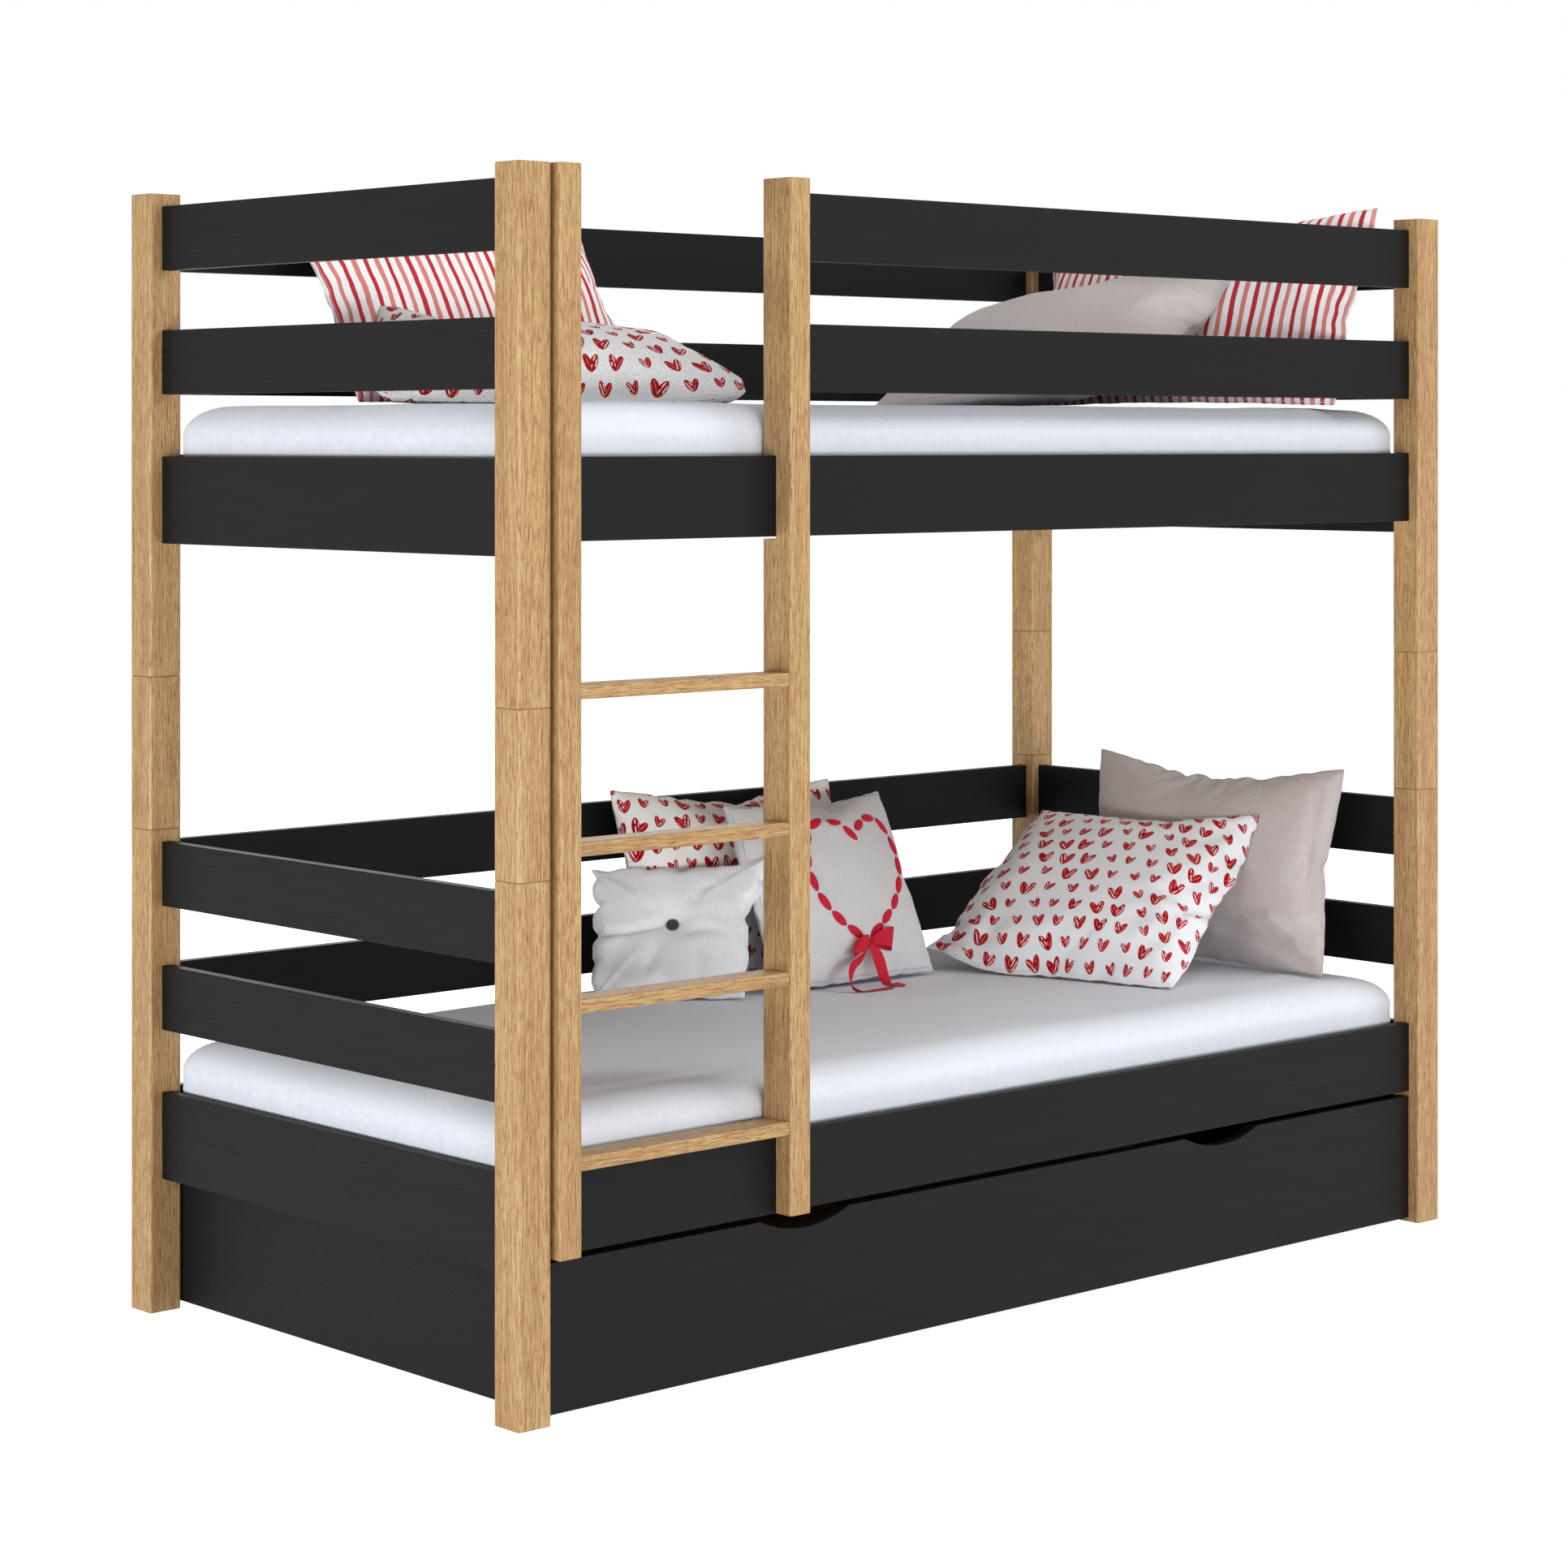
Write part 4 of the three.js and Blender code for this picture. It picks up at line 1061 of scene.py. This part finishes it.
def repeatTree(name, shapeNodes, floats):
    # copies one small shape to every point, turned by the point's own angles
    tree = bpy.data.node_groups.new(name, "GeometryNodeTree")
    tree.interface.new_socket(name="Geometry", in_out="INPUT", socket_type="NodeSocketGeometry")
    for label, value in floats.items():
        socket = tree.interface.new_socket(name=label, in_out="INPUT", socket_type="NodeSocketFloat")
        socket.default_value = value
    tree.interface.new_socket(name="Material", in_out="INPUT", socket_type="NodeSocketMaterial")
    tree.interface.new_socket(name="Geometry", in_out="OUTPUT", socket_type="NodeSocketGeometry")
    given = outputsOf(tree, tree.nodes.new("NodeGroupInput"))
    turn = source(tree, "GeometryNodeInputNamedAttribute", 0, {"Name": "turn"}, data_type="FLOAT_VECTOR")
    copies = addNode("GeometryNodeInstanceOnPoints", {
        "Points": given["Geometry"], "Instance": shapeNodes(tree, given),
        "Rotation": addNode("FunctionNodeEulerToRotation", {0: turn})})
    smooth = addNode("GeometryNodeSetShadeSmooth", {0: addNode("GeometryNodeRealizeInstances", {0: copies})})
    dressed = addNode("GeometryNodeSetMaterial", {"Geometry": smooth, "Material": given["Material"]})
    fill(tree, tree.nodes.new("NodeGroupOutput"), {0: dressed})
    return tree


def repeated(name, rows, tree, values, material):
    # runs a repeat tree over rows of (place, turn) and keeps the result as a plain mesh
    mesh = bpy.data.meshes.new(f"{name}_places")
    mesh.from_pydata([tuple(place) for place, _ in rows], [], [])
    turns = mesh.attributes.new("turn", "FLOAT_VECTOR", "POINT")
    turns.data.foreach_set("vector", [angle for _, turn in rows for angle in turn])
    places = bpy.data.objects.new(f"{name}_places", mesh)
    scene.collection.objects.link(places)
    modifier = places.modifiers.new("repeat", "NODES")
    modifier.node_group = tree
    sockets = {item.name: item.identifier for item in tree.interface.items_tree if item.in_out == "INPUT"}
    for label, value in {**values, "Material": material}.items():
        modifier[sockets[label]] = value
    graph = bpy.context.evaluated_depsgraph_get()
    mesh = bpy.data.meshes.new_from_object(places.evaluated_get(graph))
    mesh.name = name
    bpy.data.objects.remove(places)
    piece = bpy.data.objects.new(name, mesh)
    scene.collection.objects.link(piece)
    return piece


def leafShape(tree, given):
    # a flat drop with pointed ends, raised in the middle; a ball's poles become the ends
    ball = source(tree, "GeometryNodeMeshUVSphere", 0, {"Segments": 14, "Rings": 7, "Radius": 1.0})
    x, y, z = parted(source(tree, "GeometryNodeInputPosition"))
    narrow = calc("SUBTRACT", 1.06, calc("ABSOLUTE", z) * 0.12)
    rib = calc("COSINE", y * 9.0) * 0.12 + 1.0
    whole = joined(z * given["Length"], y * narrow * given["Breadth"], x * rib * given["Thickness"])
    return addNode("GeometryNodeSetPosition", {"Geometry": ball, "Position": whole * half3})


def addStitches():
    lift = 0.0006  # of a stitch above the cloth
    rows = []
    for x, y, dx, dy in heartPlaces():
        found, normal, turn = onFace("cushion_ribbon_heart", x, y)
        along = turn @ Vector((dx, dy, 0))
        rows.append((found + normal * lift, frameTurn(along, normal)))
    floats = {label: stitchLook[label.lower()] for label in ("Length", "Breadth", "Thickness")}
    tree = repeatTree("ribbonStitches", leafShape, floats)
    sewOn(repeated("ribbon_heart_stitches", rows, tree, floats, fabrics["ribbon"]))


def sewOn(piece):
    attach(piece, "root")


def ribbonStrip(name, stations):
    # a flat ribbon through stations of (middle, edge direction, width), closed all round
    points = []
    middles = [Vector(middle) for middle, _, _ in stations]
    for k, (middle, edge, width) in enumerate(stations):
        along = middles[min(k + 1, len(middles) - 1)] - middles[max(k - 1, 0)]
        edge = Vector(edge).normalized()
        normal = along.cross(edge).normalized() * bowLook["thickness"] / 2
        low, high = middle - edge * width / 2, middle + edge * width / 2
        points += [low - normal, middle - normal, high - normal, high + normal, middle + normal, low + normal]
    sides = 6
    last = len(points) - sides
    faces = bandFaces(len(stations), sides) + [(5, 4, 1, 0), (4, 3, 2, 1)]
    faces += [(last, last + 1, last + 4, last + 5), (last + 1, last + 2, last + 3, last + 4)]
    piece = meshObject(name, points, faces, fabrics["ribbon"])
    subdivide(piece, 2)
    return piece


# each loop and tail: places (right, up, out) from the knot in the cushion's own directions, or (right,
# towards the viewer, above the mattress) for what hangs free; edge direction; width; all in metres
bowLoops = {
    "bow_loop_right": [
        ((0.002, 0.000, 0.004), (0, 1, 0), 0.01), ((0.012, 0.002, 0.014), (0, 1, 0.1), 0.022),
        ((0.03, 0.002, 0.02), (0.15, 1, 0.1), 0.034), ((0.047, 0.001, 0.017), (0.3, 1, 0.2), 0.042),
        ((0.056, -0.001, 0.009), (0.42, 1, 0.2), 0.044), ((0.053, -0.003, 0.003), (0.42, 1, 0), 0.042),
        ((0.036, -0.004, 0.002), (0.2, 1, 0), 0.03), ((0.016, -0.002, 0.002), (0, 1, 0), 0.016),
        ((0.003, -0.001, 0.002), (0, 1, 0), 0.008),
    ],
    "bow_loop_left": [
        ((-0.002, 0.000, 0.004), (0, 1, 0), 0.01), ((-0.011, -0.003, 0.015), (0.3, 1, 0.1), 0.026),
        ((-0.026, -0.006, 0.023), (0.5, 1, 0.3), 0.038), ((-0.041, -0.004, 0.017), (0.8, 1, 0.5), 0.036),
        ((-0.047, -0.008, 0.012), (0.7, 1, -0.2), 0.032), ((-0.043, -0.011, 0.004), (0.5, 1, 0), 0.03),
        ((-0.028, -0.008, 0.003), (0.2, 1, 0), 0.024), ((-0.012, -0.003, 0.002), (0, 1, 0), 0.014),
        ((-0.003, 0.000, 0.002), (0, 1, 0), 0.008),
    ],
}
bowTails = {
    "bow_tail_right": [
        ((0.001, 0.008, 0.0), (1, 0, 0), 0.012), ((0.006, 0.014, -0.012), (1, 0, 0.1), 0.024),
        ((0.009, 0.018, -0.026), (1, 0.1, 0.15), 0.027), ((0.013, 0.021, -0.04), (1, 0.3, 0.2), 0.022),
        ((0.02, 0.026, "low"), (0.8, 0.7, 0.0), 0.018), ((0.032, 0.032, "low"), (0.35, 1, 0.0), 0.024),
        ((0.05, 0.028, "low"), (-0.1, 1, 0.0), 0.038), ((0.066, 0.02, "low"), (-0.3, 1, 0.0), 0.034),
    ],
    "bow_tail_left": [
        ((-0.006, 0.008, -0.008), (0.6, 0, 1), 0.012), ((-0.024, 0.014, -0.022), (0.2, 0, 1), 0.018),
        ((-0.046, 0.02, -0.028), (-0.1, 0, 1), 0.016), ((-0.068, 0.028, -0.036), (-0.6, -0.2, 1), 0.02),
        ((-0.078, 0.036, "raised"), (-0.8, 0.5, 0.6), 0.022), ((-0.066, 0.044, "low"), (-0.2, 1, 0.2), 0.02),
        ((-0.036, 0.048, "low"), (0.05, 1, 0.0), 0.018), ((-0.002, 0.048, "low"), (0.0, 1, 0.0), 0.018),
        ((0.022, 0.045, "low"), (-0.2, 1, 0.0), 0.016),
    ],
}
bowLook = {
    "knot": (0.0095, 0.012, 0.006), "knotLift": 0.004, "belowTip": 0.002,
    "thickness": 0.0009, "low": 0.0012, "raised": 0.012,  # the last two above the mattress
}


def addBow():
    tip = stitchLook["height"] / 2
    middleX, middleY = stitchLook["middle"]
    knot, normal, turn = onFace(
        "cushion_ribbon_heart", middleX - stitchLook["skew"] * tip, middleY - tip - bowLook["belowTip"])
    knot = knot + normal * bowLook["knotLift"]
    heights = {word: mattressTops["lower"] + bowLook[word] for word in ("low", "raised")}
    parts = []
    for name, stations in bowLoops.items():
        placed = [(knot + turn @ Vector(spot), turn @ Vector(edge), width) for spot, edge, width in stations]
        parts.append(ribbonStrip(name, placed))
    for name, stations in bowTails.items():
        placed = []
        for (right, near, up), edge, width in stations:
            z = heights[up] if up in heights else max(knot.z + up, heights["low"])
            edge = Vector((edge[0], -edge[1], edge[2]))
            placed.append((Vector((knot.x + right, knot.y - near, z)), edge, width))
        parts.append(ribbonStrip(name, placed))
    parts.append(addKnot(knot, turn))
    for piece in parts:
        sewOn(piece)


def addKnot(knot, turn):
    # the ribbon wrapped round the middle of the bow
    rings, sides = 8, 12
    points = []
    for i in range(1, rings):
        for j in range(sides):
            high, around = math.pi * i / rings, math.tau * j / sides
            reach = math.sin(high) * (1 + 0.08 * math.cos(3 * around))  # three soft folds
            spot = (reach * math.cos(around), math.cos(high), reach * math.sin(around))
            points.append(knot + turn @ Vector([v * r for v, r in zip(spot, bowLook["knot"])]))
    faces = bandFaces(rings - 1, sides)
    faces.append(tuple(range(sides - 1, -1, -1)))
    faces.append(tuple(range((rings - 2) * sides, (rings - 1) * sides)))
    piece = meshObject("bow_knot", points, faces, fabrics["ribbon"])
    subdivide(piece)
    return piece


buttonLook = {
    # radius and height of the turned profile, from the middle of the face to the back
    "profile": [(0.0, 0.0042), (0.0035, 0.0040), (0.0060, 0.0037), (0.0076, 0.0046), (0.0092, 0.0051),
                (0.0106, 0.0044), (0.0112, 0.0028), (0.0104, 0.0010), (0.0080, 0.0002), (0.0, 0.0)],
    "sides": 28, "raise": 0.0006,
}


def addButton():
    found, _, turn = onFace("cushion_button", 0, 0)
    outward = pillows["cushion_button"]["outward"]
    found = found + outward * buttonLook["raise"]
    profile, sides = buttonLook["profile"], buttonLook["sides"]
    points = [found + outward * profile[0][1]]
    for radius, high in profile[1:-1]:
        for j in range(sides):
            angle = math.tau * j / sides
            spot = turn @ Vector((radius * math.cos(angle), radius * math.sin(angle), high))
            points.append(found + spot)
    points.append(found + outward * profile[-1][1])
    faces = [(0, 1 + j, 1 + (j + 1) % sides) for j in range(sides)]
    faces += [(a, d, c, b) for a, b, c, d in bandFaces(len(profile) - 2, sides, 1)]
    last = 1 + (len(profile) - 3) * sides
    faces += [(last + j, len(points) - 1, last + (j + 1) % sides) for j in range(sides)]
    sewOn(meshObject("cushion_button_horn", points, faces, fabrics["button"]))


addStitches()
addBow()
addButton()
print("sewn parts done")


# Studio: a pale floor and backdrop, soft lamps and the camera

studio = {
    "floorSize": 40.0, "worldLevel": 0.146, "floorLift": 0.9,
    "lamps": {
        "front_low": {"size": (6.0, 0.9), "power": 217, "from": (-1.5, -6.5, 0.6), "to": (0.0, 0.0, 0.9)},
        "left_low": {"size": (4.0, 0.9), "power": 232, "from": (-6.5, -0.5, 0.6), "to": (0.0, 0.0, 0.9)},
        "key": {"size": (3.0, 2.0), "power": 145, "from": (4.0, -4.0, 5.0), "to": (0.0, 0.0, 0.6)},
        "top": {"size": (4.0, 4.0), "power": 60, "from": (0.0, 0.0, 5.6), "to": (0.0, 0.0, 0.6)},
        "high_front": {"size": (4.0, 2.0), "power": 53, "from": (0.0, -2.4, 5.6), "to": (0.0, 0.1, 0.6)},
        "behind": {"size": (5.0, 2.0), "power": 120, "from": (3.0, 6.5, 1.6), "to": (0.0, 0.0, 0.9)},
    },
}


def seenShare(tree):
    # 1 for rays from the camera and for what gloss or glass shows
    rays = outputsOf(tree, tree.nodes.new("ShaderNodeLightPath"))
    seen = calc("MAXIMUM", rays["Is Camera Ray"], rays["Is Glossy Ray"])
    return calc("MAXIMUM", seen, rays["Is Transmission Ray"])


def addWorld():
    world = bpy.data.worlds.new("studio")
    world.use_nodes = True
    tree = world.node_tree
    level = addNode("ShaderNodeMix", {0: seenShare(tree), 2: studio["worldLevel"], 3: 1.0}, data_type="FLOAT")
    fill(tree, tree.nodes["Background"], {"Color": (1, 1, 1, 1), "Strength": level})
    scene.world = world


def addFloor():
    half = studio["floorSize"] / 2
    corners = [(-half, -half, 0), (half, -half, 0), (half, half, 0), (-half, half, 0)]
    material = newMaterial("floor_white", {
        "Base Color": tone(244, 244, 244), "Roughness": 0.9, "Emission Color": (1, 1, 1, 1)})
    tree = material.node_tree
    fill(tree, tree.nodes["Principled BSDF"], {"Emission Strength": seenShare(tree) * studio["floorLift"]})
    floor = meshObject("studio_floor", corners, [(0, 1, 2, 3)], material, smooth=False)


def aim(item, origin, target):
    item.location = origin
    item.rotation_euler = (Vector(target) - Vector(origin)).to_track_quat("-Z", "Y").to_euler()


def addLamps():
    for name, spec in studio["lamps"].items():
        lamp = bpy.data.lights.new(name, "AREA")
        lamp.shape = "RECTANGLE"
        lamp.size, lamp.size_y = spec["size"]
        lamp.energy = spec["power"]
        item = bpy.data.objects.new(name, lamp)
        scene.collection.objects.link(item)
        aim(item, spec["from"], spec["to"])


cameraPlace = {
    "location": (-4.2412, -4.5527, 1.4060), "yaw": -42.37, "lens": 83.60, "sensor": 36.0, "shiftUp": -0.2203,
}


def addCamera():
    camera = bpy.data.cameras.new("camera")
    camera.lens, camera.sensor_width = cameraPlace["lens"], cameraPlace["sensor"]
    camera.shift_y = cameraPlace["shiftUp"]
    item = bpy.data.objects.new("camera", camera)
    scene.collection.objects.link(item)
    item.location = cameraPlace["location"]
    item.rotation_euler = (math.pi / 2, 0, math.radians(cameraPlace["yaw"]))
    scene.camera = item


addWorld()
addFloor()
addLamps()
addCamera()
scene.view_settings.view_transform = "Standard"
print("studio done")
